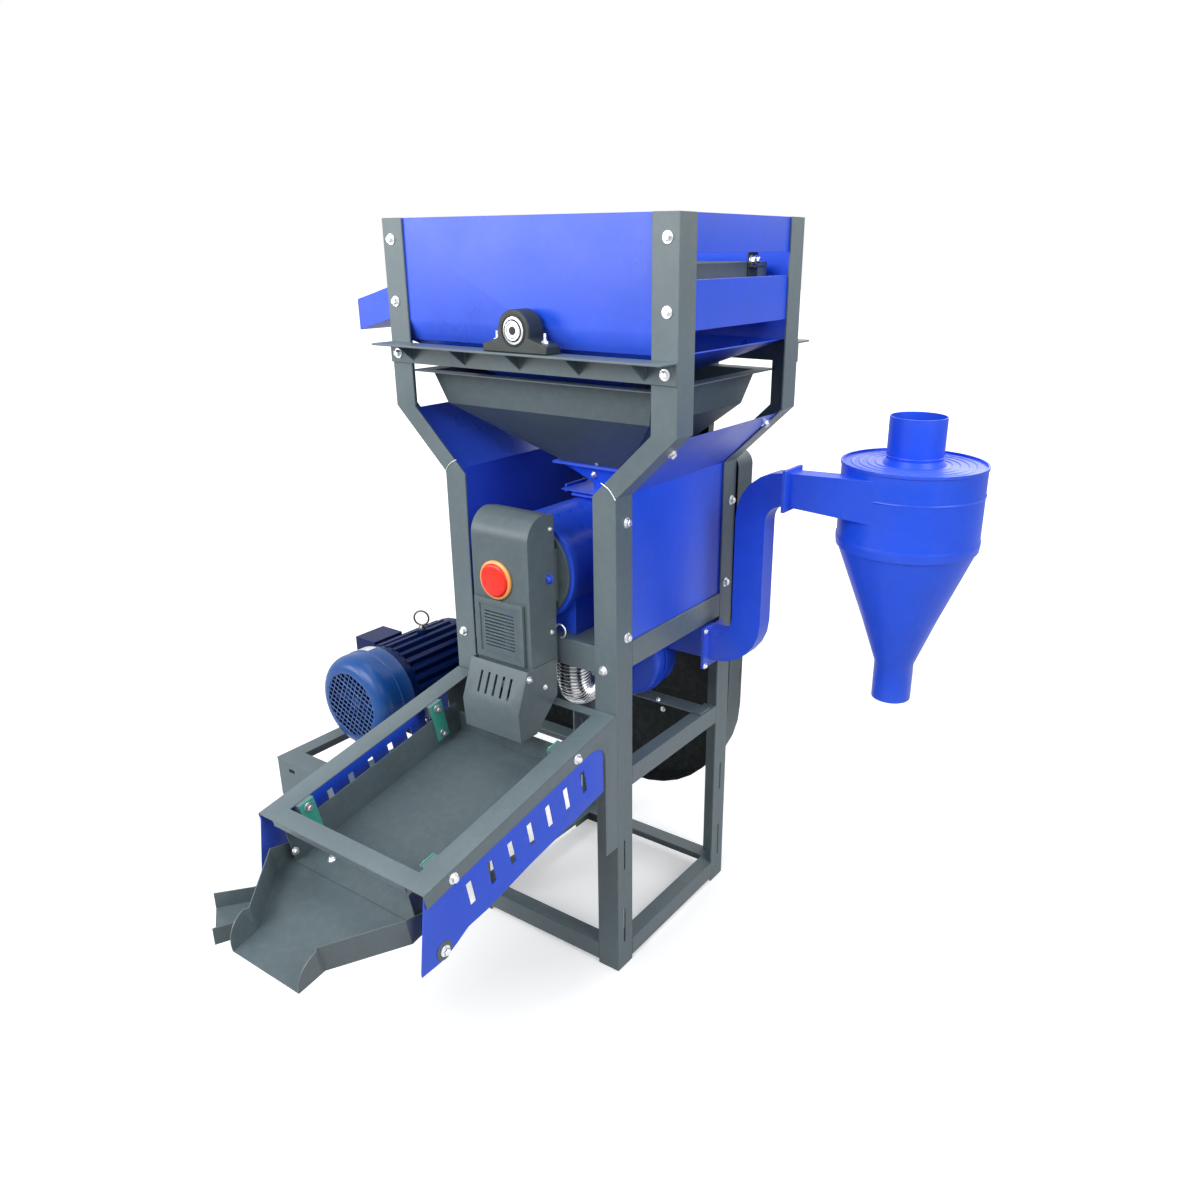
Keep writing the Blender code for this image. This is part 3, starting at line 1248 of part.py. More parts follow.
def make_motor():
    navy = paint("motor_paint", NAVY, 0.35)
    cowl_back = MOTOR_FRONT + COWL_LENGTH
    body_y0 = cowl_back + GAP
    finned = plate([fin_outline()], "y", body_y0 + END_BELL, BODY_END - END_BELL)
    bells = [
        rod((MOTOR_X, body_y0, MOTOR_Z), (MOTOR_X, body_y0 + END_BELL * 1.2, MOTOR_Z), FIN_R - SHEET),
        rod((MOTOR_X, BODY_END - END_BELL * 1.2, MOTOR_Z), (MOTOR_X, BODY_END, MOTOR_Z), FIN_R - SHEET),
    ]
    spigot_r = COWL_R - SHEET - GAP
    spigot_y = body_y0 - SPIGOT
    bells.append(rod((MOTOR_X, spigot_y, MOTOR_Z), (MOTOR_X, body_y0 + SHEET, MOTOR_Z), spigot_r))
    feet = []
    top = MOTOR_Z - BODY_R * 0.6
    for side in (-1, 1):
        x = MOTOR_X + side * FOOT_HALF_SPAN
        inner = MOTOR_X + side * FOOT_HALF_SPAN * 0.3
        low = STAND_TOP + GAP
        outline = [
            (x + side * FOOT_WIDTH / 2, low),
            (x + side * FOOT_WIDTH / 2, low + FOOT_THICK),
            (x - side * FOOT_WIDTH / 2, low + FOOT_THICK * 1.5),
            (inner + side * FOOT_WIDTH, top),
            (inner, top),
            (inner, low),
        ]
        for start in (body_y0 + END_BELL, BODY_END - END_BELL - FOOT_LENGTH):
            feet.append(plate([outline], "y", start, start + FOOT_LENGTH))
    lug_y = MOTOR_EYE_Y
    lug = rod((MOTOR_X, lug_y, MOTOR_Z + BODY_R / 2), (MOTOR_X, lug_y, MOTOR_Z + FIN_R + EYE_SEAT), EYE_R)
    hollow = rod((MOTOR_X, body_y0 + END_BELL / 2, MOTOR_Z), (MOTOR_X, BODY_END - END_BELL / 2, MOTOR_Z), ROTOR_BORE)
    shaft_hole = rod((MOTOR_X, spigot_y - OVERRUN, MOTOR_Z), (MOTOR_X, BODY_END + OVERRUN, MOTOR_Z), MOTOR_SHAFT_R + GAP)
    box_low = (MOTOR_X - FIN_R - BOX_REACH, BOX_Y0, MOTOR_Z + BOX_Z)
    box_high = (MOTOR_X - FIN_R * 0.55, BOX_Y0 + BOX_LENGTH, MOTOR_Z + BOX_Z + BOX_HEIGHT)
    wiring = box(box_low, box_high)
    piece("motor_body", finned, navy, joined=[*bells, *feet, lug, wiring], cuts=[hollow, shaft_hole])
    y = MOTOR_FRONT
    r = COWL_R
    wall = SHEET
    inner_r = r - wall
    grille_r = r - COWL_ROUND
    profile = [(grille_r, 0)]
    profile += [
        (grille_r + COWL_ROUND * math.sin(math.radians(a)), -COWL_ROUND * (1 - math.cos(math.radians(a))))
        for a in (30, 60, 90)
    ]
    profile += [(r, -COWL_LENGTH), (inner_r, -COWL_LENGTH), (inner_r, -COWL_ROUND)]
    profile += [(grille_r, -wall)]
    shell = turned(profile, (MOTOR_X, y, MOTOR_Z), axis=-Y_AXIS, ring=True)
    holes = []
    ring_pitch = (grille_r - GRILLE_HUB_R) / GRILLE_RINGS
    for ring in range(GRILLE_RINGS):
        low = GRILLE_HUB_R + ring * ring_pitch + GRILLE_BAR
        high = GRILLE_HUB_R + (ring + 1) * ring_pitch
        count = GRILLE_SPOKES * (ring + 1)
        for index in range(count):
            holes.append(sector((MOTOR_X, MOTOR_Z), low, high - GRILLE_BAR, index * 360 / count, 360 / count))
    disc = arc((MOTOR_X, MOTOR_Z), grille_r + SHEET / 2, 0, 360 - 360 / ROUND_STEPS, ROUND_STEPS - 1)
    grille = plate([disc, *holes], "y", y + wall / 4, y + wall * 1.25)
    piece("fan_cowl", shell, navy, joined=[grille])
    r = MOTOR_SHAFT_R
    disc_y = cowl_back - COWL_ROUND
    stations = [(y + COWL_ROUND, r), (disc_y - SHEET, r), (disc_y - SHEET, grille_r), (disc_y, grille_r), (disc_y, r)]
    stations += [(body_y0 + END_BELL, r), (body_y0 + END_BELL, ROTOR_BORE - THIN), (BODY_END - END_BELL, ROTOR_BORE - THIN)]
    stations += [(BODY_END - END_BELL, r), (PULLEY_FRONT, r), *pulley(MOTOR_PULLEY_R, PULLEY_FRONT)]
    stations += [(PULLEY_FRONT + BELT_WIDTH, r), (PULLEY_FRONT + BELT_WIDTH + STEEL, r)]
    shaft = spindle((MOTOR_X, MOTOR_Z), stations)
    blades = []
    for index in range(FAN_BLADES):
        angle = 2 * math.pi * index / FAN_BLADES
        turn = Matrix.Translation((MOTOR_X, 0, MOTOR_Z)) @ Matrix.Rotation(angle, 4, "Y")
        low = (MOTOR_SHAFT_R / 2, y + COWL_ROUND, -THIN)
        high = (grille_r - THIN, disc_y - SHEET / 2, THIN)
        blades.append(moved(box(low, high), turn))
    steel = paint("rotor_steel", STEEL_BRIGHT, 0.4, 1.0)
    piece("motor_rotor", shaft, steel, MOTOR_AXIS, joined=blades)


def sector(centre, low, high, start, span):
    """A hole between two radii and two spokes, the spokes as wide as the bars."""
    near = math.degrees(GRILLE_BAR / low)
    far = math.degrees(GRILLE_BAR / high)
    steps = max(1, round(span / 20))
    outline = arc(centre, high, start + far, start + span - far, steps)
    outline += arc(centre, low, start + span - near, start + near, steps)
    return outline[::-1]


def make_stand():
    """The motor's stand: a deck with two openings, a deep front apron, two webs and two outer legs."""
    top = STAND_TOP
    low = top - STEEL
    right = -LEG_HALF - GAP
    deck_edge = rectangle((STAND_OUTER, STAND_FRONT), (right, STAND_REAR))
    near = STAND_FRONT + STAND_SHELF
    far = STAND_REAR - STAND_RAIL
    motor_bay = rectangle((STAND_OUTER + STAND_RAIL, near), (STAND_INNER - STAND_RAIL, far))
    side_bay = rectangle((STAND_INNER, near), (right - STEEL * 2, far))
    deck = plate([deck_edge, motor_bay[::-1], side_bay[::-1]], "z", low, top)
    lap = top - STEEL / 2
    left = STAND_OUTER + WELD_STEP
    apron_right = right - STEEL * 2
    front = STAND_FRONT + WELD_STEP
    rear = STAND_REAR - WELD_STEP
    apron = box((left, front, top - STAND_APRON), (apron_right, front + STEEL, lap))
    web = box((left + WELD_STEP, front + WELD_STEP, top - STAND_RAIL), (left + STEEL, rear - WELD_STEP, lap))
    back = box((left, rear - STEEL, top - STAND_RAIL), (apron_right, rear, lap))
    legs = []
    for corner_y, inward in ((front + 2 * WELD_STEP, 1), (rear - 2 * WELD_STEP, -1)):
        corner_x = left + 2 * WELD_STEP
        section = (
            (0, 0),
            (STAND_RAIL, 0),
            (STAND_RAIL, STEEL),
            (STEEL, STEEL),
            (STEEL, STAND_RAIL),
            (0, STAND_RAIL),
        )
        rings = [[Vector((corner_x + u, corner_y + inward * v, z)) for u, v in section] for z in (0, low + STEEL / 4)]
        legs.append(loft(rings))
    slot_x = STAND_OUTER + STAND_RAIL
    slot_top = top - STAND_SLOT_Z
    slot = box(
        (slot_x, STAND_FRONT - OVERRUN, slot_top - SLOT_WIDTH * 2),
        (slot_x + STAND_SLOT, STAND_FRONT + STEEL + OVERRUN, slot_top),
    )
    piece("motor_stand", deck, FRAME_PAINT, joined=[apron, web, back, *legs], cuts=[slot])


def hull_outline(circles, steps):
    """The outline of a band drawn tight round circles given counter-clockwise as (x, z, radius)."""
    points = []
    count = len(circles)
    for index, (x, z, radius) in enumerate(circles):
        before = circles[index - 1]
        after = circles[(index + 1) % count]
        start = tangent_angle(before, (x, z, radius))
        end = tangent_angle((x, z, radius), after)
        while end < start:
            end += 360
        if end - start > 359:
            end = start
        points += arc((x, z), radius, start, end, steps if radius > SHEET else 1)
    return points


def tangent_angle(first, second):
    """The direction from both centres to the outer tangent that runs from the first circle to the second."""
    dx = second[0] - first[0]
    dz = second[1] - first[1]
    heading = math.degrees(math.atan2(dz, dx))
    lean = math.degrees(math.asin((first[2] - second[2]) / math.hypot(dx, dz)))
    return heading - 90 + lean


def guard_circles(shrink):
    corner = GUARD_CORNER - shrink
    return [
        (GUARD_MOTOR_X, MOTOR_Z, GUARD_MOTOR_R - shrink),
        (GUARD_ARC_X, GUARD_ARC_Z, GUARD_ARC_R - shrink),
        (GUARD_RIGHT - GUARD_CORNER, GUARD_TOP - GUARD_CORNER, corner),
        (-GUARD_SHOULDER, GUARD_TOP - GUARD_CORNER, corner),
    ]


def make_guards():
    """The main belt guard, a deep pressed tray that opens to the frame, and the narrow guard up to the sieve."""
    edge = hull_outline(guard_circles(0), SMALL_STEPS)
    inside = hull_outline(guard_circles(SHEET), SMALL_STEPS)
    hull = plate([edge], "y", GUARD_FRONT, GUARD_BACK)
    hollow = plate([inside], "y", GUARD_FRONT - OVERRUN, GUARD_BACK - SHEET)
    bore = rod((0, GUARD_BACK - SHEET - OVERRUN, MILL_Z), (0, GUARD_BACK + OVERRUN, MILL_Z), MILL_SHAFT_R * 1.25)
    slot = box(
        (GUARD_RIGHT - SHEET - OVERRUN, GUARD_BACK - GUARD_SLOT_INSET, GUARD_SLOT_Z),
        (GUARD_RIGHT + OVERRUN, GUARD_BACK - GUARD_SLOT_INSET + SLOT_WIDTH, GUARD_SLOT_Z + GUARD_SLOT_LENGTH),
    )
    half = HEAD_GUARD_HALF
    crown = RAIL_TOP + BEARING_RISE
    head = arc((0, MILL_Z), half, 180, 360, SMALL_STEPS) + arc((ECCENTRIC_X, crown), half, 0, 180, SMALL_STEPS)
    head_inside = arc((0, MILL_Z), half - SHEET, 180, 360, SMALL_STEPS)
    head_inside += arc((ECCENTRIC_X, crown), half - SHEET, 0, 180, SMALL_STEPS)
    column = plate([head], "y", GUARD_BACK - SHEET / 2, SIEVE_GUARD_BACK)
    column_hollow = plate([head_inside], "y", GUARD_BACK, SIEVE_GUARD_BACK - SHEET)
    mouth = box(
        (ECCENTRIC_X - half - OVERRUN, GUARD_BACK - SHEET, GUARD_TOP + OVERRUN),
        (ECCENTRIC_X + half + OVERRUN, GUARD_BACK + OVERRUN / 2, crown + half + OVERRUN),
    )
    piece("belt_guard", hull, FRAME_PAINT, joined=[column], cuts=[hollow, bore, slot, column_hollow, mouth])


def make_blower():
    """The scroll of the blower with its inlet collar and outlet, and the paddle wheel inside."""
    y0 = BLOWER_Y0
    y1 = DUCT_Y1
    top = DUCT_LOW_TOP
    outline = arc((BLOWER_X, BLOWER_Z), BLOWER_R, 90, 340, SMALL_STEPS * 2)
    mouth_x = DUCT_X0 - GAP - WELD_STEP
    outline += [(mouth_x, top - DUCT_HEIGHT), (mouth_x, top)]
    wall = SHEET
    inside = arc((BLOWER_X, BLOWER_Z), BLOWER_R - wall, 90, 340, SMALL_STEPS * 2)
    inside += [(DUCT_X0 + OVERRUN, top - DUCT_HEIGHT + wall), (DUCT_X0 + OVERRUN, top - wall)]
    scroll = plate([outline], "y", y0, y1)
    hollow = plate([inside], "y", y0 + wall, y1 - wall)
    collar = rod((BLOWER_X, y0 - COLLAR, BLOWER_Z), (BLOWER_X, y0 + wall / 2, BLOWER_Z), HOSE_R)
    inlet = rod((BLOWER_X, y0 - COLLAR - OVERRUN, BLOWER_Z), (BLOWER_X, y0 + wall + OVERRUN, BLOWER_Z), HOSE_R - wall)
    shaft_hole = rod((BLOWER_X, y0 + wall, BLOWER_Z), (BLOWER_X, y1 + OVERRUN, BLOWER_Z), BLOWER_SHAFT_R + GAP)
    neck = box((DUCT_X0 - DUCT_NECK, y0 - OVERRUN, BLOWER_Z), (DUCT_X0 + OVERRUN * 2, DUCT_Y0, top + OVERRUN))
    edge = rectangle((DUCT_Y0 - DUCT_EDGE, top - DUCT_HEIGHT - DUCT_EDGE), (DUCT_Y1 + DUCT_EDGE, top + DUCT_EDGE_TOP))
    hole = rectangle((DUCT_Y0 + wall, top - DUCT_HEIGHT + wall), (DUCT_Y1 - wall, top - wall))
    flange = plate([edge, hole[::-1]], "x", DUCT_X0 - wall * 1.5, DUCT_X0 - GAP)
    shoulder = plate(
        [rectangle((DUCT_X0 - DUCT_NECK - wall, top - DUCT_HEIGHT + wall / 2), (DUCT_X0 - wall, top - wall / 2))],
        "y",
        DUCT_Y0,
        DUCT_Y0 + wall,
    )
    casing = piece("blower_housing", scroll, BLUE_PAINT, joined=[collar], cuts=[hollow, inlet, shaft_hole, neck])
    for index, mesh in enumerate((shoulder, flange)):
        step = casing.modifiers.new(f"finish_{index}", "BOOLEAN")
        step.operation = "UNION"
        step.object = helper(f"blower_finish_{index}", mesh)
    r = BLOWER_SHAFT_R
    wheel_y = PULLEY_FRONT + BELT_PITCH
    stations = [(y0 + wall * 3, r), (wheel_y, r), *pulley(BLOWER_PULLEY_R, wheel_y)]
    stations += [(wheel_y + BELT_WIDTH, r), (wheel_y + BELT_WIDTH + STEEL, r)]
    shaft = spindle((BLOWER_X, BLOWER_Z), stations)
    paddles = []
    for index in range(PADDLES):
        angle = 2 * math.pi * index / PADDLES
        turn = Matrix.Translation((BLOWER_X, 0, BLOWER_Z)) @ Matrix.Rotation(angle, 4, "Y")
        low = (BLOWER_SHAFT_R / 2, y0 + wall * 4, -THIN)
        high = (BLOWER_R - wall * 5, y1 - wall * 4, THIN)
        paddles.append(moved(box(low, high), turn))
    steel = paint("wheel_steel", STEEL_BRIGHT, 0.45, 1.0)
    piece("blower_wheel", shaft, steel, BLOWER_AXIS, joined=paddles)


def make_hose():
    """The corrugated suction hose from the mill's husk outlet under the shelf to the blower's inlet."""
    start = Vector((HOSE_X, HOSE_Y, SHELF_Z - STEEL - GAP))
    end = Vector((BLOWER_X, BLOWER_Y0 - COLLAR - GAP, BLOWER_Z))
    drop = start - Z_AXIS * HOSE_CUFF
    entry = end - Y_AXIS * HOSE_CUFF
    bend_start = drop - Z_AXIS * HOSE_BEND
    bend_end = entry - Y_AXIS * HOSE_BEND
    points = [start]
    for index in range(HOSE_STEPS + 1):
        t = index / HOSE_STEPS
        near = drop * (1 - t) ** 3 + bend_start * (3 * t * (1 - t) ** 2)
        points.append(near + bend_end * (3 * t**2 * (1 - t)) + entry * t**3)
    points.append(end)
    hose = tube(points, HOSE_R, steps=4)
    piece("suction_hose", hose, paint("hose_metal", STEEL_BRIGHT, 0.3, 1.0))


def duct_route():
    """Centre line of the riser in the XZ plane, with rounded elbows: (x, z, heading in degrees)."""
    half = DUCT_HEIGHT / 2
    low = DUCT_LOW_TOP - half
    high = DUCT_HIGH_TOP - half
    turn = BEND_R + half
    route = [(DUCT_X0 + WELD_STEP, low, 0)]
    for angle in range(0, 91, 15):
        a = math.radians(angle)
        route.append((DUCT_RISE_X - turn + turn * math.sin(a), low + turn - turn * math.cos(a), angle))
    for angle in range(90, -1, -15):
        a = math.radians(angle)
        route.append((DUCT_RISE_X + turn - turn * math.sin(a), high - turn + turn * math.cos(a), angle))
    route.append((DUCT_END - WELD_STEP, high, 0))
    return route


def make_riser():
    half = DUCT_HEIGHT / 2
    y0 = DUCT_Y0
    y1 = DUCT_Y1
    rings = []
    for x, z, angle in duct_route():
        across = Vector((-math.sin(math.radians(angle)), 0, math.cos(math.radians(angle)))) * half
        middle = Vector((x, 0, z))
        rings.append(
            [
                middle - across + Y_AXIS * y0,
                middle - across + Y_AXIS * y1,
                middle + across + Y_AXIS * y1,
                middle + across + Y_AXIS * y0,
            ]
        )
    duct = skin(rings, SHEET)
    top = DUCT_LOW_TOP
    edge = rectangle((y0 - DUCT_EDGE, top - DUCT_HEIGHT - DUCT_EDGE), (y1 + DUCT_EDGE, top + DUCT_EDGE_TOP))
    hole = rectangle((y0 + SHEET / 2, top - DUCT_HEIGHT + SHEET / 2), (y1 - SHEET / 2, top - SHEET / 2))
    low_flange = plate([edge, hole[::-1]], "x", DUCT_X0, DUCT_X0 + SHEET * 1.5)
    top = DUCT_HIGH_TOP
    spread = (DUCT_HIGH_FLANGE - DUCT_HEIGHT) / 2
    edge = rectangle((y0 - spread * 2, top - DUCT_HEIGHT - spread), (y1 + spread * 2, top + spread))
    hole = rectangle((y0 + SHEET / 2, top - DUCT_HEIGHT + SHEET / 2), (y1 - SHEET / 2, top - SHEET / 2))
    high_flange = plate([edge, hole[::-1]], "x", DUCT_END - SHEET * 1.5, DUCT_END)
    piece("riser_duct", duct, BLUE_PAINT, joined=[low_flange, high_flange])


def make_cyclone():
    """The cyclone's body with its tangential inlet, and the lid with the exhaust pipe."""
    place = (CYCLONE_X, CYCLONE_Y, 0)
    lid_z = CYCLONE_LID_Z
    wall = SHEET
    outside = [
        (CYCLONE_R, lid_z - GAP - LID_LAP),
        (CYCLONE_R, HIGH_BEAD_Z + BEAD * 2),
        (CYCLONE_R + BEAD, HIGH_BEAD_Z),
        (CYCLONE_R, HIGH_BEAD_Z - BEAD * 2),
        (CYCLONE_R, LOW_BEAD_Z + BEAD * 4),
        (CYCLONE_R + BEAD, LOW_BEAD_Z + BEAD * 2),
        (CYCLONE_R + BEAD, LOW_BEAD_Z - BEAD * 2),
        (CYCLONE_R, CYLINDER_BOTTOM),
        (CONE_TOP_R, CYLINDER_BOTTOM - BEAD * 2),
        (CONE_BOTTOM_R, CONE_BOTTOM),
        (CONE_BOTTOM_R, PIPE_BOTTOM),
    ]
    inside = [
        (CONE_BOTTOM_R - wall, PIPE_BOTTOM),
        (CONE_BOTTOM_R - wall, CONE_BOTTOM + wall),
        (CYCLONE_R - wall, CYLINDER_BOTTOM + wall),
        (CYCLONE_R - wall, lid_z - GAP - LID_LAP),
    ]
    shell = turned(outside + inside, place, steps=CYCLONE_STEPS, ring=True)
    start = DUCT_END + GAP
    y0 = DUCT_Y0
    y1 = DUCT_Y1
    top = DUCT_HIGH_TOP
    low = top - DUCT_HEIGHT
    far = CYCLONE_X
    rings = []
    for x, high, bottom in ((start, top, low), (far, INLET_TOP, INLET_BOTTOM)):
        rings.append([Vector((x, y, z)) for y, z in rectangle((y0 + INLET_SHIFT, bottom), (y1 + INLET_SHIFT, high))])
    inlet = loft(rings)
    air = []
    for x, high, bottom in ((start - OVERRUN, top, low), (far, INLET_TOP, INLET_BOTTOM)):
        low_corner = (y0 + INLET_SHIFT + wall, bottom + wall)
        high_corner = (y1 + INLET_SHIFT - wall, high - wall)
        air.append([Vector((x, y, z)) for y, z in rectangle(low_corner, high_corner)])
    room = turned(
        [
            (0, lid_z),
            (CYCLONE_R - wall, lid_z),
            (CYCLONE_R - wall, CYLINDER_BOTTOM + wall),
            (0, CYLINDER_BOTTOM + wall),
        ],
        place,
        steps=CYCLONE_STEPS,
    )
    spread = (DUCT_HIGH_FLANGE - DUCT_HEIGHT) / 2
    edge = rectangle((y0 - spread * 2, low - spread), (y1 + spread * 2, top + spread))
    flange = plate([edge], "x", start, start + wall * 1.5)
    piece("cyclone_body", shell, BLUE_PAINT, joined=[inlet, flange], cuts=[loft(air), room])
    low = lid_z - LID_LAP
    rim = CYCLONE_R + BEAD
    profile = [
        (TOP_PIPE_R - wall, TOP_PIPE_TOP),
        (TOP_PIPE_R, TOP_PIPE_TOP),
        (TOP_PIPE_R, lid_z + PIPE_FLARE * 2),
        (TOP_PIPE_R + BEAD, lid_z + PIPE_FLARE * 1.8),
        (TOP_PIPE_R, lid_z + PIPE_FLARE * 1.6),
        (TOP_PIPE_R, lid_z + PIPE_FLARE),
        (TOP_PIPE_R + PIPE_FLARE, lid_z - LID_DISH),
        (rim - LID_RIM, lid_z - LID_DISH),
        (rim - LID_RIM, lid_z),
        (rim, lid_z),
        (rim, low),
        (TOP_PIPE_R, low),
        (TOP_PIPE_R, low - PIPE_DIP),
        (TOP_PIPE_R - wall, low - PIPE_DIP),
    ]
    lid = turned(profile, place, steps=CYCLONE_STEPS, ring=True)
    piece("cyclone_lid", lid, BLUE_PAINT)


def tray_outline(points):
    """(y, z) pairs of points given along the tray's slope as (forward, up)."""
    return [on_tray(0, forward, up).yz for forward, up in points]


def make_tray_frame():
    """The grey folded frame over the tray, with its gussets and the brackets that stand on the front legs."""
    top_z = -SHEET
    start = BRACKET_WIDTH
    side_points = [on_tray(0, TRAY_LENGTH, top_z / 2).yz, on_tray(0, TRAY_LENGTH, -TRAY_FLANGE).yz]
    side_points += [on_tray(0, GUSSET_START, -TRAY_FLANGE).yz]
    corner = Vector((-start, TRAY_RISE - TRAY_FLANGE - GUSSET_DROP))
    begin = side_points[-1]
    for index in range(1, SMALL_STEPS // 2 + 1):
        t = index / (SMALL_STEPS // 2)
        pull = Vector((corner.x, begin.y))
        side_points.append(begin * (1 - t) ** 2 + pull * (2 * t * (1 - t)) + corner * t**2)
    side_points += [Vector((-start, BRACKET_FOOT)), Vector((-GAP, BRACKET_FOOT))]
    rear_top = TRAY_RISE - math.tan(TRAY_TILT) * GAP - SHEET
    side_points += [Vector((-GAP, rear_top))]
    sides = []
    for side in (-1, 1):
        x = sorted((side * TRAY_HALF, side * (TRAY_HALF - SHEET)))
        sides.append(plate([side_points], "x", x[0], x[1]))
        x = sorted((side * (TRAY_HALF - SHEET / 2), side * (TRAY_HALF - BRACKET_WIDTH)))
        sides.append(box((x[0], -GAP - SHEET, BRACKET_FOOT), (x[1], -GAP, rear_top - SHEET * 2)))
    far = TRAY_LENGTH - WELD_STEP
    edge = rectangle((-TRAY_HALF + WELD_STEP, -far), (TRAY_HALF - WELD_STEP, -REAR_INSET))
    opening = rectangle((-TRAY_HALF + TRAY_SIDE, -TRAY_LENGTH + TRAY_FRONT), (TRAY_HALF - TRAY_SIDE, -TRAY_REAR))
    slope = Matrix.Translation((0, 0, TRAY_RISE)) @ Matrix.Rotation(TRAY_TILT, 4, "X")
    top = moved(plate([edge, opening[::-1]], "z", -SHEET, 0), slope)
    lip = tray_box((-TRAY_LIP_HALF, TRAY_LENGTH - SHEET, -TRAY_LIP), (TRAY_LIP_HALF, TRAY_LENGTH, -SHEET / 2))
    inner = PAN_HALF - SHEET - GAP - LEAF_THICK
    lugs = []
    for forward in (REAR_PIVOT, FRONT_PIVOT):
        for side in (-1, 1):
            x = sorted((side * (PAN_HALF - SHEET), side * (TRAY_HALF - TRAY_SIDE + SHEET * 4)))
            low = (x[0], forward - LEAF_WIDTH / 2, -PAN_DEPTH + PAN_WALL + PIN_CLEARANCE * 3)
            lugs.append(tray_box(low, (x[1], forward + LEAF_WIDTH / 2, -SHEET / 2)))
            centre = on_tray(0, forward, -PIVOT_DROP)
            root = centre + X_AXIS * side * (PAN_HALF - SHEET + GAP * 4)
            tip = centre + X_AXIS * side * (inner - GAP - BOLT_HEIGHT)
            lugs.append(rod(tip + (root - tip) / 4, root, LEAF_PIN_R, steps=SMALL_STEPS * 2))
            lugs.append(rod(tip, centre + X_AXIS * side * (inner - GAP), BOLT_R, steps=6))
    piece("tray_frame", top, FRAME_PAINT, joined=[*sides, lip, *lugs])


def make_leaves():
    green = paint("leaf_green", (0.05, 0.25, 0.16), 0.45)
    for word, forward, axis in (("rear", REAR_PIVOT, REAR_LEAF_AXIS), ("front", FRONT_PIVOT, FRONT_LEAF_AXIS)):
        top = -PIVOT_DROP + (LEAF_LENGTH - LEAF_SPAN) / 2
        low = top - LEAF_LENGTH
        half = LEAF_WIDTH / 2
        edge = tray_outline(
            [(forward - half, low), (forward + half, low), (forward + half, top), (forward - half, top)]
        )
        holes = []
        for up, clearance in ((-PIVOT_DROP, GAP), (-PIVOT_DROP - LEAF_SPAN, PIN_CLEARANCE)):
            centre = on_tray(0, forward, up).yz
            holes.append(arc(centre, LEAF_PIN_R + clearance, 360 - 360 / SMALL_STEPS / 2, 0, SMALL_STEPS * 2 - 1))
        for side, hand in ((-1, "left"), (1, "right")):
            x = sorted((side * (PAN_HALF - SHEET - GAP), side * (PAN_HALF - SHEET - GAP - LEAF_THICK)))
            piece(f"{word}_leaf_{hand}", plate([edge, *holes], "x", x[0], x[1]), green, axis)


def make_pan():
    """The shaken tray: a sheet channel with a leaning back wall and a pin for the foot of each leaf."""
    floor = -PAN_DEPTH
    wall = SHEET
    rings = []
    for forward in (PAN_START, PAN_END):
        section = (
            (-PAN_HALF, floor + PAN_WALL),
            (-PAN_HALF, floor - wall),
            (PAN_HALF, floor - wall),
            (PAN_HALF, floor + PAN_WALL),
            (PAN_HALF - wall, floor + PAN_WALL),
            (PAN_HALF - wall, floor),
            (-PAN_HALF + wall, floor),
            (-PAN_HALF + wall, floor + PAN_WALL),
        )
        rings.append([on_tray(x, forward, up) for x, up in section])
    back_outline = tray_outline(
        [
            (PAN_START, floor - wall / 2),
            (PAN_START + wall, floor - wall / 2),
            (PAN_START + wall - BACK_LEAN, floor + BACK_WALL),
            (PAN_START - BACK_LEAN, floor + BACK_WALL),
        ]
    )
    back = plate([back_outline], "x", -PAN_HALF + wall / 2, PAN_HALF - wall / 2)
    pins = []
    for forward in (REAR_PIVOT, FRONT_PIVOT):
        for side in (-1, 1):
            centre = on_tray(0, forward, -PIVOT_DROP - LEAF_SPAN)
            inner = PAN_HALF - wall - LEAF_THICK - GAP * 2
            root = centre + X_AXIS * side * (PAN_HALF - wall / 2)
            tip = centre + X_AXIS * side * (inner - BOLT_HEIGHT)
            pins.append(rod(tip + (root - tip) / 4, root, LEAF_PIN_R, steps=SMALL_STEPS * 2))
            pins.append(rod(tip, centre + X_AXIS * side * inner, BOLT_R, steps=6))
    piece("grader_pan", loft(rings), paint("pan_sheet", GREY, 0.5), PAN_SLIDE, joined=[back, *pins])


def chute_floor(forward):
    return on_tray(0, forward, -PAN_DEPTH - SHEET - GAP)


def make_main_chute():
    """The lipped chute on the front of the tray: its walls lean out and run in to the narrow mouth."""
    floor = -PAN_DEPTH - SHEET - GAP
    wall = SHEET
    stations = (
        (CHUTE_START, CHUTE_HALF, CHUTE_WALL * 0.55),
        (CHUTE_SHOULDER, CHUTE_HALF, CHUTE_WALL),
        (CHUTE_NECK, CHUTE_NECK_HALF, CHUTE_WALL),
        (CHUTE_NECK + (CHUTE_LIP - CHUTE_NECK) * 0.7, CHUTE_LIP_HALF, CHUTE_LIP_WALL),
        (CHUTE_LIP, CHUTE_LIP_HALF, wall * 2),
    )
    rings = []
    for forward, half, height in stations:
        section = (
            (-half, floor + height - wall),
            (-half, floor - wall),
            (half, floor - wall),
            (half, floor + height - wall),
            (half - wall, floor + height - wall),
            (half - wall, floor),
            (-half + wall, floor),
            (-half + wall, floor + height - wall),
        )
        rings.append([on_tray(x, forward, up) for x, up in section])
    piece("main_chute", loft(rings), paint("chute_sheet", GREY, 0.45), PAN_SLIDE)


def hung(share):
    """The height of a point under the tray, from its share of the hang."""
    return TRAY_RISE - TRAY_HANG * (1 - share)


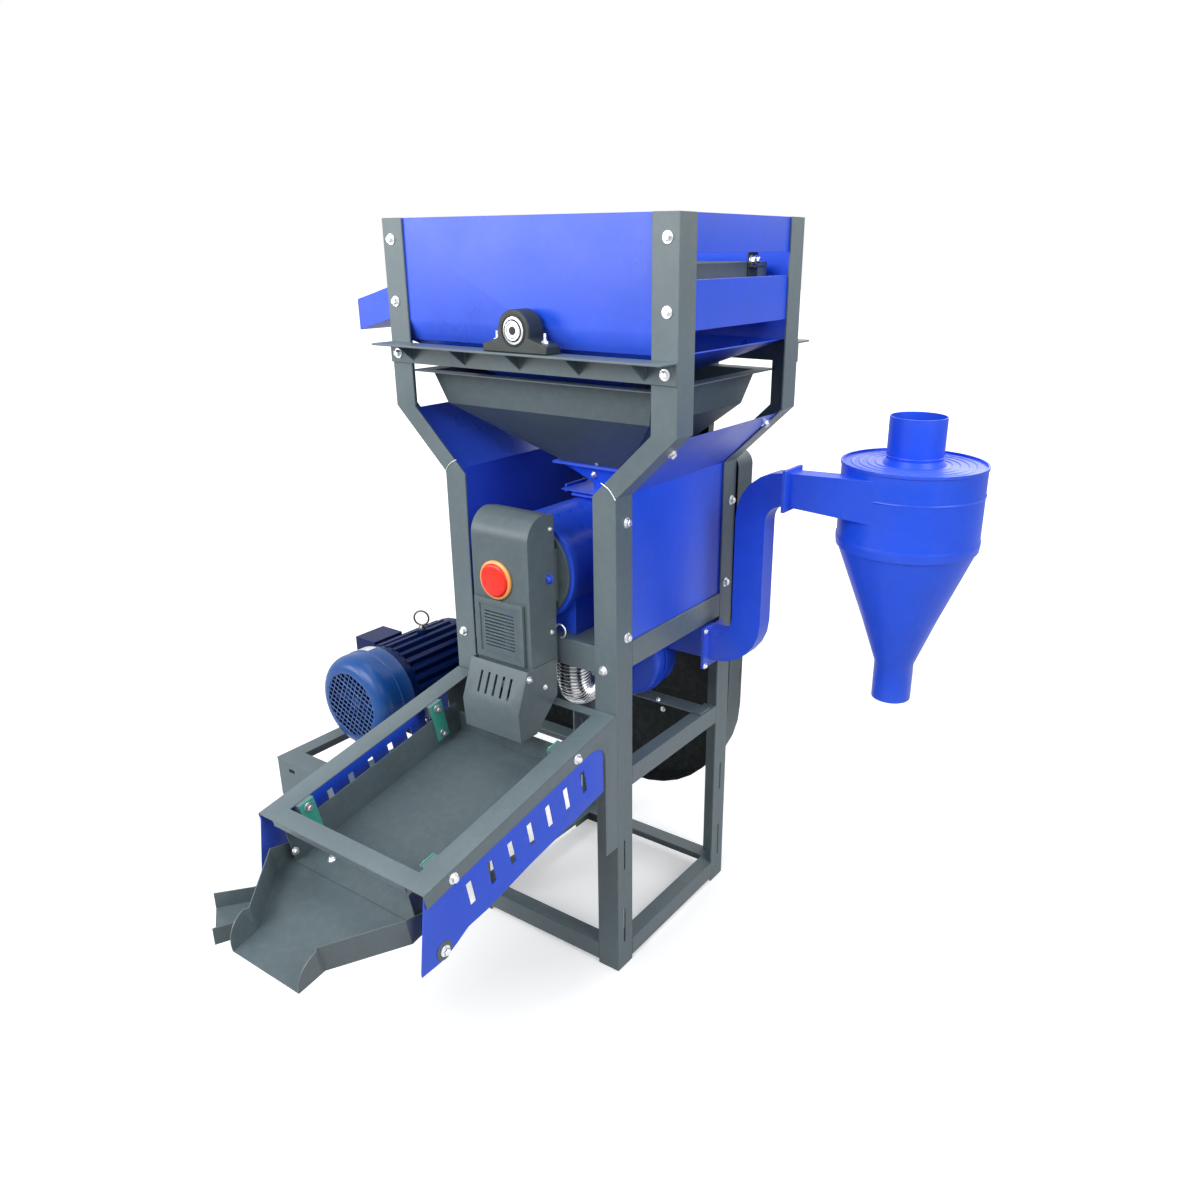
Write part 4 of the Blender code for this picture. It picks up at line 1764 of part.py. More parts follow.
def make_lower_chute():
    """The small side chute under the main one: a channel that turns out past the left side plate."""
    wall = SHEET
    rings = []
    for left, right, low, high in LOWER_CHUTE_SHARES:
        left = Vector((left[0] * TRAY_HALF, left[1] * TRAY_LENGTH))
        right = Vector((right[0] * TRAY_HALF, right[1] * TRAY_LENGTH))
        inward = (right - left).normalized() * wall
        low = hung(low)
        high = hung(high)
        plan = (
            (left, high),
            (left, low - wall),
            (right, low - wall),
            (right, high),
            (right - inward, high),
            (right - inward, low),
            (left + inward, low),
            (left + inward, high),
        )
        rings.append([Vector((at.x, at.y, z)) for at, z in plan])
    under = -PAN_DEPTH - SHEET * 2 - GAP * 2
    crown = [on_tray(0, HANGER_START, under).yz, on_tray(0, HANGER_START + HANGER_LENGTH, under).yz]
    foot = [Vector((at.x, hung(LOWER_CHUTE_SHARES[0][2]))) for at in reversed(crown)]
    hanger = plate([[*crown, *foot]], "x", HANGER_X, HANGER_X + SHEET)
    piece("lower_chute", loft(rings), paint("chute_paint", GREY, 0.45), PAN_SLIDE, joined=[hanger])


def make_side_plates():
    """The blue plates inside the tray frame's flanges, with a row of plain upright slots."""
    plates = []
    lower = []
    for forward_share, z_share in PLATE_EDGE_SHARES:
        lower.append((-forward_share * TRAY_LENGTH, hung(z_share)))
    top_front = on_tray(0, TRAY_LENGTH - SHEET - GAP, -SHEET - GAP)
    top_rear = on_tray(0, PLATE_REAR, -SHEET - GAP)
    edge = [tuple(top_front.yz), *lower, tuple(top_rear.yz)]
    slots = []
    for index in range(PLATE_SLOTS):
        forward = PLATE_SLOT_START + index * PLATE_SLOT_PITCH
        slots.append(
            tray_outline(
                [
                    (forward, -PLATE_SLOT_TOP),
                    (forward + PLATE_SLOT_WIDTH, -PLATE_SLOT_TOP),
                    (forward + PLATE_SLOT_WIDTH, -PLATE_SLOT_TOP - PLATE_SLOT_LENGTH),
                    (forward, -PLATE_SLOT_TOP - PLATE_SLOT_LENGTH),
                ]
            )
        )
    outer = TRAY_HALF - SHEET - GAP
    for side in (-1, 1):
        x = sorted((side * outer, side * (outer - SHEET)))
        plates.append(plate([edge, *slots], "x", x[0], x[1]))
    for mesh, word in zip(plates, ("left", "right")):
        piece(f"side_plate_{word}", mesh, BLUE_PAINT)




make_legs()
make_side_rails()
make_base_frame()
make_mid_cross_rail()
make_shelf()
make_bearing_rails()
make_pillow_blocks()
make_eccentric()
make_belts()
make_side_panels()
make_sieve_panels()
make_sieve_sides()
make_sieve()
make_catch_pan()
make_hopper()
make_transition()
make_mill()
make_discharge()
make_motor()
make_stand()
make_guards()
make_blower()
make_hose()
make_riser()
make_cyclone()
make_tray_frame()
make_leaves()
make_pan()
make_main_chute()
make_lower_chute()
make_side_plates()
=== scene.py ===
"""Looks of the rice huller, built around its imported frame. Metres, +Z up.

Places are given in the machine's space: X = 0 on the middle of the legs, Y = 0 on the
front legs' faces, Z = 0 on the floor. at() brings them into the frame's own space.
"""

import json
import math

import bmesh
import bpy
from mathutils import Matrix, Vector


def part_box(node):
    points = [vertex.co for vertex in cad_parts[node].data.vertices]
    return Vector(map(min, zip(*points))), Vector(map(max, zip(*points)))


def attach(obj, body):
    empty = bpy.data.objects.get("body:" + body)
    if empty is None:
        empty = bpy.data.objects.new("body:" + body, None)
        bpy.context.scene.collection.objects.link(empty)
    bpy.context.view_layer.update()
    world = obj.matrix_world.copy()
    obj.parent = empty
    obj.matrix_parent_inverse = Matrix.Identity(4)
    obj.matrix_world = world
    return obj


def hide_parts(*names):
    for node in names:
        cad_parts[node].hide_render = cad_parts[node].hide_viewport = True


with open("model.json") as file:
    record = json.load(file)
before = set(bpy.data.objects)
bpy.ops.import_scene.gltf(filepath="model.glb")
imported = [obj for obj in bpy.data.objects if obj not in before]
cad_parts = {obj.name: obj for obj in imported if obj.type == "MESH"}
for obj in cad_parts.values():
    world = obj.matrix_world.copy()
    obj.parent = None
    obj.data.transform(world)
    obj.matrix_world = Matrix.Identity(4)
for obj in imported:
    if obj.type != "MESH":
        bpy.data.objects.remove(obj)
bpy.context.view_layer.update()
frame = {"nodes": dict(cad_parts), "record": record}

RECORD = frame["record"]
BODY_OF = {node: body for body, nodes in RECORD["behaviour"]["bodies"].items() for node in nodes}
SLOT_OF = {entry["node"]: entry["material_slot"] for entry in RECORD["subparts"]}
X_AXIS = Vector((1, 0, 0))
Y_AXIS = Vector((0, 1, 0))
Z_AXIS = Vector((0, 0, 1))

# The machine's origin, from the front legs
LEFT_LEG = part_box("front_leg_left")
RIGHT_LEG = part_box("front_leg_right")
ORIGIN = Vector(((LEFT_LEG[0][0] + RIGHT_LEG[1][0]) / 2, LEFT_LEG[0][1], 0))


def at(x, y, z):
    return ORIGIN + Vector((x, y, z))


# Camera, fitted to the photograph's straight edges
PHOTO_SIDE = 1200
FOCAL_PIXELS = 971.69
PRINCIPAL_X = 628.63
PRINCIPAL_Y = 614.64
CAMERA_PLACE = at(1.1391, -1.3017, 1.3907)
CAMERA_YAW = math.radians(35.034)
CAMERA_PITCH = math.radians(20.74)
CAMERA_ROLL = math.radians(-0.094)
SENSOR = 36.0


def make_camera():
    data = bpy.data.cameras.new("photo_camera")
    data.sensor_width = SENSOR
    data.lens = FOCAL_PIXELS * SENSOR / PHOTO_SIDE
    data.shift_x = (PHOTO_SIDE / 2 - PRINCIPAL_X) / PHOTO_SIDE
    data.shift_y = (PRINCIPAL_Y - PHOTO_SIDE / 2) / PHOTO_SIDE
    camera = bpy.data.objects.new("photo_camera", data)
    bpy.context.scene.collection.objects.link(camera)
    level = math.cos(CAMERA_PITCH)
    right = Vector((math.cos(CAMERA_YAW), math.sin(CAMERA_YAW), 0))
    forward = Z_AXIS.cross(right) * level - Z_AXIS * math.sin(CAMERA_PITCH)
    up = right.cross(forward)
    turn = Matrix((right, up, -forward)).transposed().to_4x4()
    roll = Matrix.Rotation(CAMERA_ROLL, 4, "Z")
    camera.matrix_world = Matrix.Translation(CAMERA_PLACE) @ turn @ roll
    bpy.context.scene.camera = camera
    return camera


# Shader graphs. Most of a noise's values lie between these two
NOISE_LOW = 0.3
NOISE_HIGH = 0.7


class Graph:
    """A small helper around one material's node tree."""

    def __init__(self, name):
        self.material = bpy.data.materials.new(name)
        self.material.use_nodes = True
        self.tree = self.material.node_tree
        self.shader = self.tree.nodes["Principled BSDF"]
        self.place = self.add("ShaderNodeTexCoord").outputs["Object"]

    def add(self, kind, **settings):
        node = self.tree.nodes.new(kind)
        for key, value in settings.items():
            setattr(node, key, value)
        return node

    def link(self, source, target):
        self.tree.links.new(source, target)

    def set(self, socket, value):
        self.shader.inputs[socket].default_value = value

    def stretched(self, scale):
        mapping = self.add("ShaderNodeMapping")
        mapping.inputs["Scale"].default_value = scale
        self.link(self.place, mapping.inputs["Vector"])
        return mapping.outputs["Vector"]

    def noise(self, scale, detail, roughness, vector=None):
        node = self.add("ShaderNodeTexNoise")
        node.inputs["Scale"].default_value = scale
        node.inputs["Detail"].default_value = detail
        node.inputs["Roughness"].default_value = roughness
        self.link(vector or self.place, node.inputs["Vector"])
        return node.outputs["Fac"]

    def ramp(self, factor, low, high, start=NOISE_LOW, end=NOISE_HIGH):
        """A colour between two, as the factor goes from start to end."""
        node = self.add("ShaderNodeValToRGB")
        for stop, place, colour in zip(node.color_ramp.elements, (start, end), (low, high)):
            stop.position, stop.color = place, (*colour, 1)
        self.link(factor, node.inputs["Fac"])
        return node.outputs["Color"]

    def spread(self, factor, low, high, start=NOISE_LOW, end=NOISE_HIGH):
        """A number between two, as the factor goes from start to end."""
        node = self.add("ShaderNodeMapRange")
        node.inputs["From Min"].default_value = start
        node.inputs["From Max"].default_value = end
        node.inputs["To Min"].default_value = low
        node.inputs["To Max"].default_value = high
        self.link(factor, node.inputs["Value"])
        return node.outputs["Result"]

    def mix(self, factor, first, second):
        node = self.add("ShaderNodeMix", data_type="RGBA")
        self.link(factor, node.inputs["Factor"])
        for socket, value in ((node.inputs[6], first), (node.inputs[7], second)):
            if isinstance(value, tuple):
                socket.default_value = (*value, 1)
            else:
                self.link(value, socket)
        return node.outputs[2]

    def bump(self, height, strength, distance):
        node = self.add("ShaderNodeBump")
        node.inputs["Strength"].default_value = strength
        node.inputs["Distance"].default_value = distance
        self.link(height, node.inputs["Height"])
        return node.outputs["Normal"]

    def finish(self, colour, roughness, normal):
        self.link(colour, self.shader.inputs["Base Color"])
        self.link(roughness, self.shader.inputs["Roughness"])
        self.link(normal, self.shader.inputs["Normal"])
        return self.material


def shade(colour, factor):
    return tuple(min(1.0, channel * factor) for channel in colour)


# Scales of the patterns, in waves per metre, and heights of their relief
CLOUD_SCALE = 7.0
PEEL_SCALE = 900.0
DUST_SCALE = 60.0
CRYSTAL_SCALE = 450.0
GRAIN_SCALE = 420.0
FIBRE_SCALE = 700.0
MOULD_SCALE = 800.0
PEEL_HEIGHT = 0.00004
GRAIN_HEIGHT = 0.0003
FIBRE_HEIGHT = 0.0002
DUST = (0.55, 0.56, 0.56)
DUST_RANGE = (0.45, 0.75)
EDGE_RANGE = (0.52, 0.60)
RUB_SHARE = 0.35
RUB_LIFT = 0.25


def paint(name, colour, roughness=0.36, wear=0.5, gloss=0.4, dirt=0.05):
    """Sprayed paint on sheet steel: clouds of tone, orange peel, dust, and lighter edges."""
    graph = Graph(name)
    graph.set("Specular IOR Level", gloss)
    clouds = graph.noise(CLOUD_SCALE, 4.0, 0.55)
    tone = graph.ramp(clouds, shade(colour, 0.92), shade(colour, 1.08))
    dust = graph.noise(DUST_SCALE, 6.0, 0.7)
    dusty = graph.mix(graph.spread(dust, 0.0, dirt, *DUST_RANGE), tone, DUST)
    edges = graph.add("ShaderNodeNewGeometry").outputs["Pointiness"]
    rub = graph.spread(edges, 0.0, RUB_SHARE * wear, *EDGE_RANGE)
    worn = graph.mix(rub, dusty, tuple(channel / 2 + RUB_LIFT for channel in colour))
    peel = graph.noise(PEEL_SCALE, 2.0, 0.5)
    rough = graph.spread(clouds, roughness - 0.05, roughness + 0.07)
    return graph.finish(worn, rough, graph.bump(peel, 0.35, PEEL_HEIGHT))


def steel(name, colour=(0.62, 0.63, 0.64), roughness=0.3, stretch=(1, 1, 1), scale=300.0):
    """Bright metal with fine machining lines along the stretched axis and faint stains."""
    graph = Graph(name)
    graph.set("Metallic", 1.0)
    lines = graph.noise(scale, 3.0, 0.6, graph.stretched(stretch))
    stains = graph.noise(DUST_SCALE, 4.0, 0.6)
    tone = graph.ramp(stains, shade(colour, 0.85), shade(colour, 1.05))
    rough = graph.spread(lines, roughness - 0.07, roughness + 0.12)
    return graph.finish(tone, rough, graph.bump(lines, 0.15, PEEL_HEIGHT))


def zinc(name):
    """Zinc-plated fasteners: small crystal patches of brighter and duller metal."""
    graph = Graph(name)
    graph.set("Metallic", 1.0)
    cells = graph.add("ShaderNodeTexVoronoi")
    cells.inputs["Scale"].default_value = CRYSTAL_SCALE
    graph.link(graph.place, cells.inputs["Vector"])
    crystals = cells.outputs["Distance"]
    tone = graph.ramp(crystals, (0.92, 0.93, 0.94), (0.74, 0.75, 0.77), 0.1)
    rough = graph.spread(crystals, 0.22, 0.40, 0.0, 0.8)
    return graph.finish(tone, rough, graph.bump(crystals, 0.2, PEEL_HEIGHT))


def rough_cast(name, colour):
    """Painted cast iron with a sand-cast grain."""
    graph = Graph(name)
    grain = graph.noise(GRAIN_SCALE, 5.0, 0.65)
    clouds = graph.noise(25.0, 3.0, 0.5)
    tone = graph.ramp(clouds, shade(colour, 0.8), shade(colour, 1.25))
    rough = graph.spread(grain, 0.4, 0.6)
    return graph.finish(tone, rough, graph.bump(grain, 0.6, GRAIN_HEIGHT))


def rubber(name):
    """Black rubber with short fibres."""
    graph = Graph(name)
    fibres = graph.noise(FIBRE_SCALE, 4.0, 0.7)
    tone = graph.ramp(fibres, (0.012, 0.012, 0.012), (0.03, 0.03, 0.032))
    rough = graph.spread(fibres, 0.55, 0.8)
    return graph.finish(tone, rough, graph.bump(fibres, 0.5, FIBRE_HEIGHT))


def plastic(name, colour):
    """Moulded plastic with a faint grain."""
    graph = Graph(name)
    grain = graph.noise(MOULD_SCALE, 2.0, 0.5)
    clouds = graph.noise(30.0, 2.0, 0.5)
    tone = graph.ramp(clouds, shade(colour, 0.93), shade(colour, 1.05))
    rough = graph.spread(grain, 0.25, 0.38)
    return graph.finish(tone, rough, graph.bump(grain, 0.2, PEEL_HEIGHT))


BLUE = (0.014, 0.088, 0.78)
GREY = (0.110, 0.152, 0.168)
NAVY = (0.008, 0.078, 0.300)
# The motor's navy darkened for its finned body: painted shade
FIN_NAVY_SHADE = (0.001, 0.013, 0.085)
LEAF_GREEN = (0.045, 0.36, 0.27)
BLUE_PAINT = paint("blue_sheet_paint", BLUE, 0.32, dirt=0.02)
GREY_PAINT = paint("grey_frame_paint", GREY, gloss=0.45)
# Sheet grey, darker than the frame's: partly the sheet's own tone, partly painted shade of the
# tray's pan
GREY_SHEET_AND_SHADE = paint("grey_sheet_paint_and_shade", shade(GREY, 0.80), 0.40, gloss=0.35)
MOTOR_PAINT = paint("motor_paint", NAVY, 0.28, dirt=0.01)
# The motor body's paint: a darker, less glossy copy of the motor's, as painted shade
FIN_PAINTED_SHADE = paint("motor_fin_painted_shade", FIN_NAVY_SHADE, 0.34, wear=0.1, gloss=0.14, dirt=0.0)
LEAF_PAINT = paint("leaf_paint", LEAF_GREEN, 0.4, gloss=0.3, dirt=0.02)
GUARD_PAINT = paint("guard_paint", shade(GREY, 0.75), 0.45, gloss=0.3)
# The guard's grey darkened nearly to black for its inner faces: painted shade
GUARD_PAINTED_SHADE = paint("guard_inside_painted_shade", shade(GREY, 0.1), 0.5, gloss=0.2)
CAST_PAINT = rough_cast("cast_block_paint", (0.022, 0.032, 0.030))
RUBBER = rubber("belt_rubber")
SHAFT_STEEL = steel("shaft_steel", stretch=(1, 0.02, 1), scale=900.0)
SCREEN_STEEL = steel("screen_steel", roughness=0.35)
PLATE_STEEL = steel("plate_steel", (0.80, 0.81, 0.82), 0.42)
HOSE_STEEL = steel("hose_steel", (0.74, 0.75, 0.77), 0.16)
ZINC = zinc("zinc_plate")
EYE_STEEL = steel("eye_steel", (0.16, 0.165, 0.17), 0.34)
RED = plastic("red_plastic", (0.90, 0.016, 0.003))
ORANGE = plastic("orange_plastic", (0.95, 0.42, 0.12))

FINISH = {
    "grey_frame": GREY_PAINT,
    "blue_sheet": BLUE_PAINT,
    "grey_sheet": GREY_SHEET_AND_SHADE,
    "cast_block": CAST_PAINT,
    "belt_rubber": RUBBER,
    "machined_steel": SHAFT_STEEL,
    "sieve_steel": SCREEN_STEEL,
    "red_plastic": RED,
    "motor_navy": MOTOR_PAINT,
    "guard_grey": GUARD_PAINT,
    "hose_metal": HOSE_STEEL,
    "leaf_green": LEAF_PAINT,
}
# Nodes that differ from their slot's finish, the motor body's in painted shade, and those that are
# modelled again below
OWN_FINISH = {"slide_gate": BLUE_PAINT, "motor_rotor": MOTOR_PAINT, "motor_body": FIN_PAINTED_SHADE}
DETAILED = ("suction_hose", "red_cap", "blower_housing", "fan_cowl", "main_chute")


# Mesh pieces. Edges sharper than these, in degrees, stay sharp
CREASE = 35
ROUND_CREASE = 60
TURNED_CREASE = 50
COWL_CREASE = 30
CHUTE_CREASE = 20


def add_piece(name, mesh, material, body, crease=CREASE):
    piece = bpy.data.objects.new(name, mesh)
    bpy.context.scene.collection.objects.link(piece)
    piece.data.materials.clear()
    piece.data.materials.append(material)
    piece.data.shade_smooth()
    piece.data.set_sharp_from_angle(angle=math.radians(crease))
    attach(piece, body)
    return piece


BEVEL_STEPS = 2
BEVEL_FROM = math.radians(30)


def rounded(piece, width):
    """Rounds a piece's edges by a real bevel."""
    bevel = piece.modifiers.new("round", "BEVEL")
    bevel.width = width
    bevel.segments = BEVEL_STEPS
    bevel.limit_method = "ANGLE"
    bevel.angle_limit = BEVEL_FROM
    bevel.use_clamp_overlap = True
    level = piece.modifiers.new("level", "WEIGHTED_NORMAL")
    level.keep_sharp = True
    piece.data.shade_smooth()


MERGE = 1e-5
FLAT_ANGLE = math.radians(0.3)
HOLED = ("motor_stand",)  # its top face has an opening that joined faces would close


def skin_of(node, width):
    """A copy of a CAD node, flat faces joined and edges rounded, that stands for it."""
    source = frame["nodes"][node]
    mesh = source.data.copy()
    mesh.transform(source.matrix_world)
    shape = bmesh.new()
    shape.from_mesh(mesh)
    bmesh.ops.remove_doubles(shape, verts=shape.verts, dist=MERGE)
    if node not in HOLED:
        parts = {"verts": shape.verts, "edges": shape.edges}
        bmesh.ops.dissolve_limit(shape, angle_limit=FLAT_ANGLE, **parts)
    for edge in shape.edges:
        edge.smooth = True
    shape.to_mesh(mesh)
    shape.free()
    if "custom_normal" in mesh.attributes:
        mesh.attributes.remove(mesh.attributes["custom_normal"])
    slot = SLOT_OF[node]
    material = OWN_FINISH.get(node, FINISH[slot])
    piece = add_piece(f"{node}_skin", mesh, material, BODY_OF[node])
    rounded(piece, width)
    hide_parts(node)
    return piece


SHEET_EDGE = 0.0005
STEEL_EDGE = 0.0011
CAST_EDGE = 0.002
STEEL_NODES = (
    "front_leg_left",
    "front_leg_right",
    "rear_leg_left",
    "rear_leg_right",
    "upper_side_rail_left",
    "upper_side_rail_right",
    "mid_side_rail_left",
    "mid_side_rail_right",
    "base_frame",
    "mid_cross_rail",
    "mill_shelf",
    "bearing_rail_front",
    "bearing_rail_rear",
    "motor_stand",
)


def recolour(piece, material, chosen):
    """Gives a second finish to the faces that a test on their place and normal picks."""
    piece.data.materials.append(material)
    for face in piece.data.polygons:
        if chosen(face.center - ORIGIN, face.normal):
            face.material_index = 1


# Where the belt guard's inner faces lie, for the painted shade inside it
GUARD_CENTRES = ((0.0, 0.83), (-0.60, 0.372), (-0.045, 0.42))  # x, z
GUARD_INSIDE_Y = 0.4795
LEVEL_SHARE = 0.5
SIEVE_WALL_X = -0.264
SIEVE_PAN_TOP = 1.30


def takes_painted_shade(place, normal):
    """Whether a face of the belt guard looks into the guard, and so takes the painted shade."""
    if normal.y < -LEVEL_SHARE:
        return True
    if normal.y > LEVEL_SHARE or place.y > GUARD_INSIDE_Y:
        return False
    away = [(math.hypot(place.x - x, place.z - z), x, z) for x, z in GUARD_CENTRES]
    _, x, z = min(away)
    return normal.x * (x - place.x) + normal.z * (z - place.z) > 0


def painted_blue(place, _):
    """Whether a face of the sieve box is on its left wall or its pan."""
    return place.x < SIEVE_WALL_X or place.z < SIEVE_PAN_TOP


def make_skins():
    for node in SLOT_OF:
        if node in DETAILED:
            continue
        width = SHEET_EDGE
        if node in STEEL_NODES:
            width = STEEL_EDGE
        elif node.startswith("pillow_block"):
            width = CAST_EDGE
        piece = skin_of(node, width)
        if node == "sieve_box":
            recolour(piece, BLUE_PAINT, painted_blue)
        elif node == "belt_guard":
            # The belt guard's inner faces get painted shade
            recolour(piece, GUARD_PAINTED_SHADE, takes_painted_shade)


# Solids
WIRE_SIDES = 10


def circle(sides):
    """The cosine and sine of each corner of a regular polygon."""
    angles = [math.tau * index / sides for index in range(sides)]
    return [(math.cos(angle), math.sin(angle)) for angle in angles]


def quarter(steps):
    """The sine and cosine along a quarter turn, its start left out."""
    angles = [math.pi / 2 * index / steps for index in range(1, steps + 1)]
    return [(math.sin(angle), math.cos(angle)) for angle in angles]


def looking(place, axis):
    """The frame of a piece whose Z axis points along the given one."""
    turn = Vector(axis).normalized().to_track_quat("Z", "Y")
    return Matrix.Translation(place) @ turn.to_matrix().to_4x4()


def extrude(shape, rings):
    """Adds a skin through rings of as many points each, with a face at both ends."""
    rows = [[shape.verts.new(point) for point in ring] for ring in rings]
    for lower, upper in zip(rows, rows[1:]):
        for step in range(len(lower)):
            after = (step + 1) % len(lower)
            shape.faces.new((lower[step], lower[after], upper[after], upper[step]))
    shape.faces.new(rows[0][::-1])
    shape.faces.new(rows[-1])


def disc_ring(shape, profile, sides, matrix):
    """Adds a turned or prismatic solid from (radius, height) pairs, closed at both ends."""
    turns = circle(sides)
    rings = []
    for radius, height in profile:
        rings.append([matrix @ Vector((radius * x, radius * y, height)) for x, y in turns])
    extrude(shape, rings)


def revolve(shape, profile, matrix, sides=48):
    """Adds a ring of revolution from a closed loop of (radius, height) pairs."""
    rows = []
    for x, y in circle(sides):
        ring = [matrix @ Vector((radius * x, radius * y, height)) for radius, height in profile]
        rows.append([shape.verts.new(point) for point in ring])
    for first, second in zip(rows, rows[1:] + rows[:1]):
        for step in range(len(profile)):
            after = (step + 1) % len(profile)
            shape.faces.new((first[step], second[step], second[after], first[after]))


def sweep(shape, points, radii, sides):
    """A capped tube through points, with a radius at each."""
    across = (points[1] - points[0]).orthogonal().normalized()
    rings = []
    for index, (point, radius) in enumerate(zip(points, radii)):
        ahead = points[min(index + 1, len(points) - 1)] - points[max(index - 1, 0)]
        ahead.normalize()
        across = (across - ahead * across.dot(ahead)).normalized()
        beside = ahead.cross(across)
        rings.append([point + (across * x + beside * y) * radius for x, y in circle(sides)])
    extrude(shape, rings)


def add_box(shape, low, high):
    low_x, low_y, low_z = low
    high_x, high_y, high_z = high
    outline = ((low_x, low_y), (high_x, low_y), (high_x, high_y), (low_x, high_y))
    extrude(shape, [[Vector((x, y, z)) for x, y in outline] for z in (low_z, high_z)])


def solid(name, shape, material, body, crease=CREASE):
    """Makes a piece of a finished bmesh, its faces turned outward."""
    bmesh.ops.recalc_face_normals(shape, faces=shape.faces)
    mesh = bpy.data.meshes.new(name)
    shape.to_mesh(mesh)
    shape.free()
    return add_piece(name, mesh, material, body, crease)


# Fasteners. Their profiles are (radius, height) pairs in shares of the thread's size
HEX_SIDES = 6
DOME_SIDES = 24
BOLT_SIZE = 0.0064
WASHER_SHARE = 1.5
WASHER_SIDES = 28
SEAT_SHARE = 0.25
HEAD_SHARE = 0.95
STEM_SIDES = 16
STUD_SIZE = 0.0062
STUD_REACH = 0.02
STUD_SEAT_SHARE = 0.3
NUT_SHARE = 1.05
STEM_SHARE = 0.55
THREAD_PITCH = 0.0012


def add_bolt(shape, place, axis, size=BOLT_SIZE, turn=0.0, head_share=HEAD_SHARE):
    """A hex head on a washer, seated on a surface."""
    matrix = looking(place, axis) @ Matrix.Rotation(turn, 4, "Z")
    seat = size * SEAT_SHARE
    rim = size * WASHER_SHARE
    washer = ((rim, 0), (rim, seat * 0.8), (rim * 0.96, seat))
    disc_ring(shape, washer, WASHER_SIDES, matrix)
    head = size * head_share
    flats = ((size, seat), (size, seat + head * 0.85), (size * 0.86, seat + head))
    disc_ring(shape, flats, HEX_SIDES, matrix)
    crown = ((size * 0.8, seat + head), (size * 0.72, seat + head * 1.08))
    disc_ring(shape, crown, DOME_SIDES, matrix)


def add_stud(shape, place, axis):
    """A threaded stud that comes up through a washer and a nut."""
    size = STUD_SIZE
    matrix = looking(place, axis)
    seat = size * STUD_SEAT_SHARE
    rim = size * WASHER_SHARE
    disc_ring(shape, ((rim, 0), (rim, seat)), WASHER_SIDES, matrix)
    nut = size * NUT_SHARE
    flats = ((size, seat), (size, seat + nut * 0.9), (size * 0.88, seat + nut))
    disc_ring(shape, flats, HEX_SIDES, matrix)
    stem = size * STEM_SHARE
    turns = []
    height = seat + nut
    while height < STUD_REACH:
        turns += [(stem, height), (stem * 0.86, height + THREAD_PITCH / 2)]
        height += THREAD_PITCH
    disc_ring(shape, (*turns, (stem * 0.8, STUD_REACH)), STEM_SIDES, matrix)


def cast(start, direction):
    """The place and the normal where a ray first meets the CAD frame."""
    graph = bpy.context.evaluated_depsgraph_get()
    ray = (Vector(start), Vector(direction))
    hit, place, normal, _, _, _ = bpy.context.scene.ray_cast(graph, *ray)
    if not hit:
        raise ValueError(f"nothing is hit from {tuple(start)}")
    return place, normal


def seen(camera, across, down):
    """Where the line of sight through a place in the photograph meets the CAD frame."""
    right = (across - PRINCIPAL_X) / FOCAL_PIXELS
    up = (PRINCIPAL_Y - down) / FOCAL_PIXELS
    ray = camera.matrix_world.to_3x3() @ Vector((right, up, -1))
    return cast(CAMERA_PLACE, ray.normalized())


# The frame's hex bolts: the start of the ray that seats each, and its direction
FRONT = (0, 1, 0)
SIDE = (-1, 0, 0)
BACK = (0, -1, 0)
LEG_START = -0.04
POST_START = -0.08
POST_X = 0.299
BOLT_TURN = 0.37
BOLTS = (
    (-POST_X, POST_START, 1.404, FRONT),
    (POST_X, POST_START, 1.404, FRONT),
    (-POST_X, POST_START, 1.297, FRONT),
    (POST_X, POST_START, 1.297, FRONT),
    (-POST_X, POST_START, 1.204, FRONT),
    (POST_X, POST_START, 1.204, FRONT),
    (-0.179, LEG_START, 0.666, FRONT),
    (0.170, LEG_START, 0.666, FRONT),
    (0.25, 0.033, 0.943, SIDE),
    (0.25, 0.033, 0.728, SIDE),
    (0.25, 0.402, 0.908, SIDE),
    (0.25, 0.389, 0.735, SIDE),
    (0.33, 0.042, 1.071, SIDE),
    (0.33, 0.365, 1.078, SIDE),
    (0.24, -0.120, 0.549, SIDE),
    (0.24, -0.432, 0.485, SIDE),
    (0.24, -0.460, 0.367, SIDE),
)


def make_bolts():
    """Every hex bolt that the photograph shows on the frame, seated where a ray meets the steel."""
    shape = bmesh.new()
    for index, (x, y, z, direction) in enumerate(BOLTS):
        place, normal = cast(at(x, y, z), direction)
        add_bolt(shape, place, normal, turn=index * BOLT_TURN)
    solid("frame_bolts", shape, ZINC, "frame")


# Bearings on the bearing rails
BEARING_X = 0.0245
BEARING_Z = 1.261
BEARING_FOOT_Z = 1.2378
STUD_HALF = 0.0525
BEARINGS = (("front", -0.044, -0.025, -1), ("rear", 0.464, 0.445, 1))  # face's and foot's y, side
# Sections of the rings, radius and height over the block's face
COVER_RING = ((0.0265, -0.002), (0.0265, 0.001), (0.0235, 0.002), (0.0225, -0.002))
INSERT_RING = ((0.0222, -0.003), (0.0222, 0.0004), (0.0188, 0.0012), (0.0175, -0.003))
SEAL_RING = ((0.0178, -0.003), (0.0178, 0.0002), (0.0156, 0.0002), (0.0156, -0.003))
LOCK_RING = ((0.0158, -0.003), (0.0158, 0.0022), (0.0132, 0.0022), (0.0132, -0.003))
SET_SCREW = ((0.0016, 0), (0.0016, 0.0028))
SET_SCREW_R = 0.0145
SET_SCREW_SIDES = 12
SET_SCREW_ANGLES = (35, 145)
# A thin black disc on the shaft's end: painted shade of its centre hole
CENTRE_HOLE_SHADE = ((0.0068, 0), (0.0068, 0.0006))
CENTRE_SIDES = 32
SHAFT_REACH = 0.0021


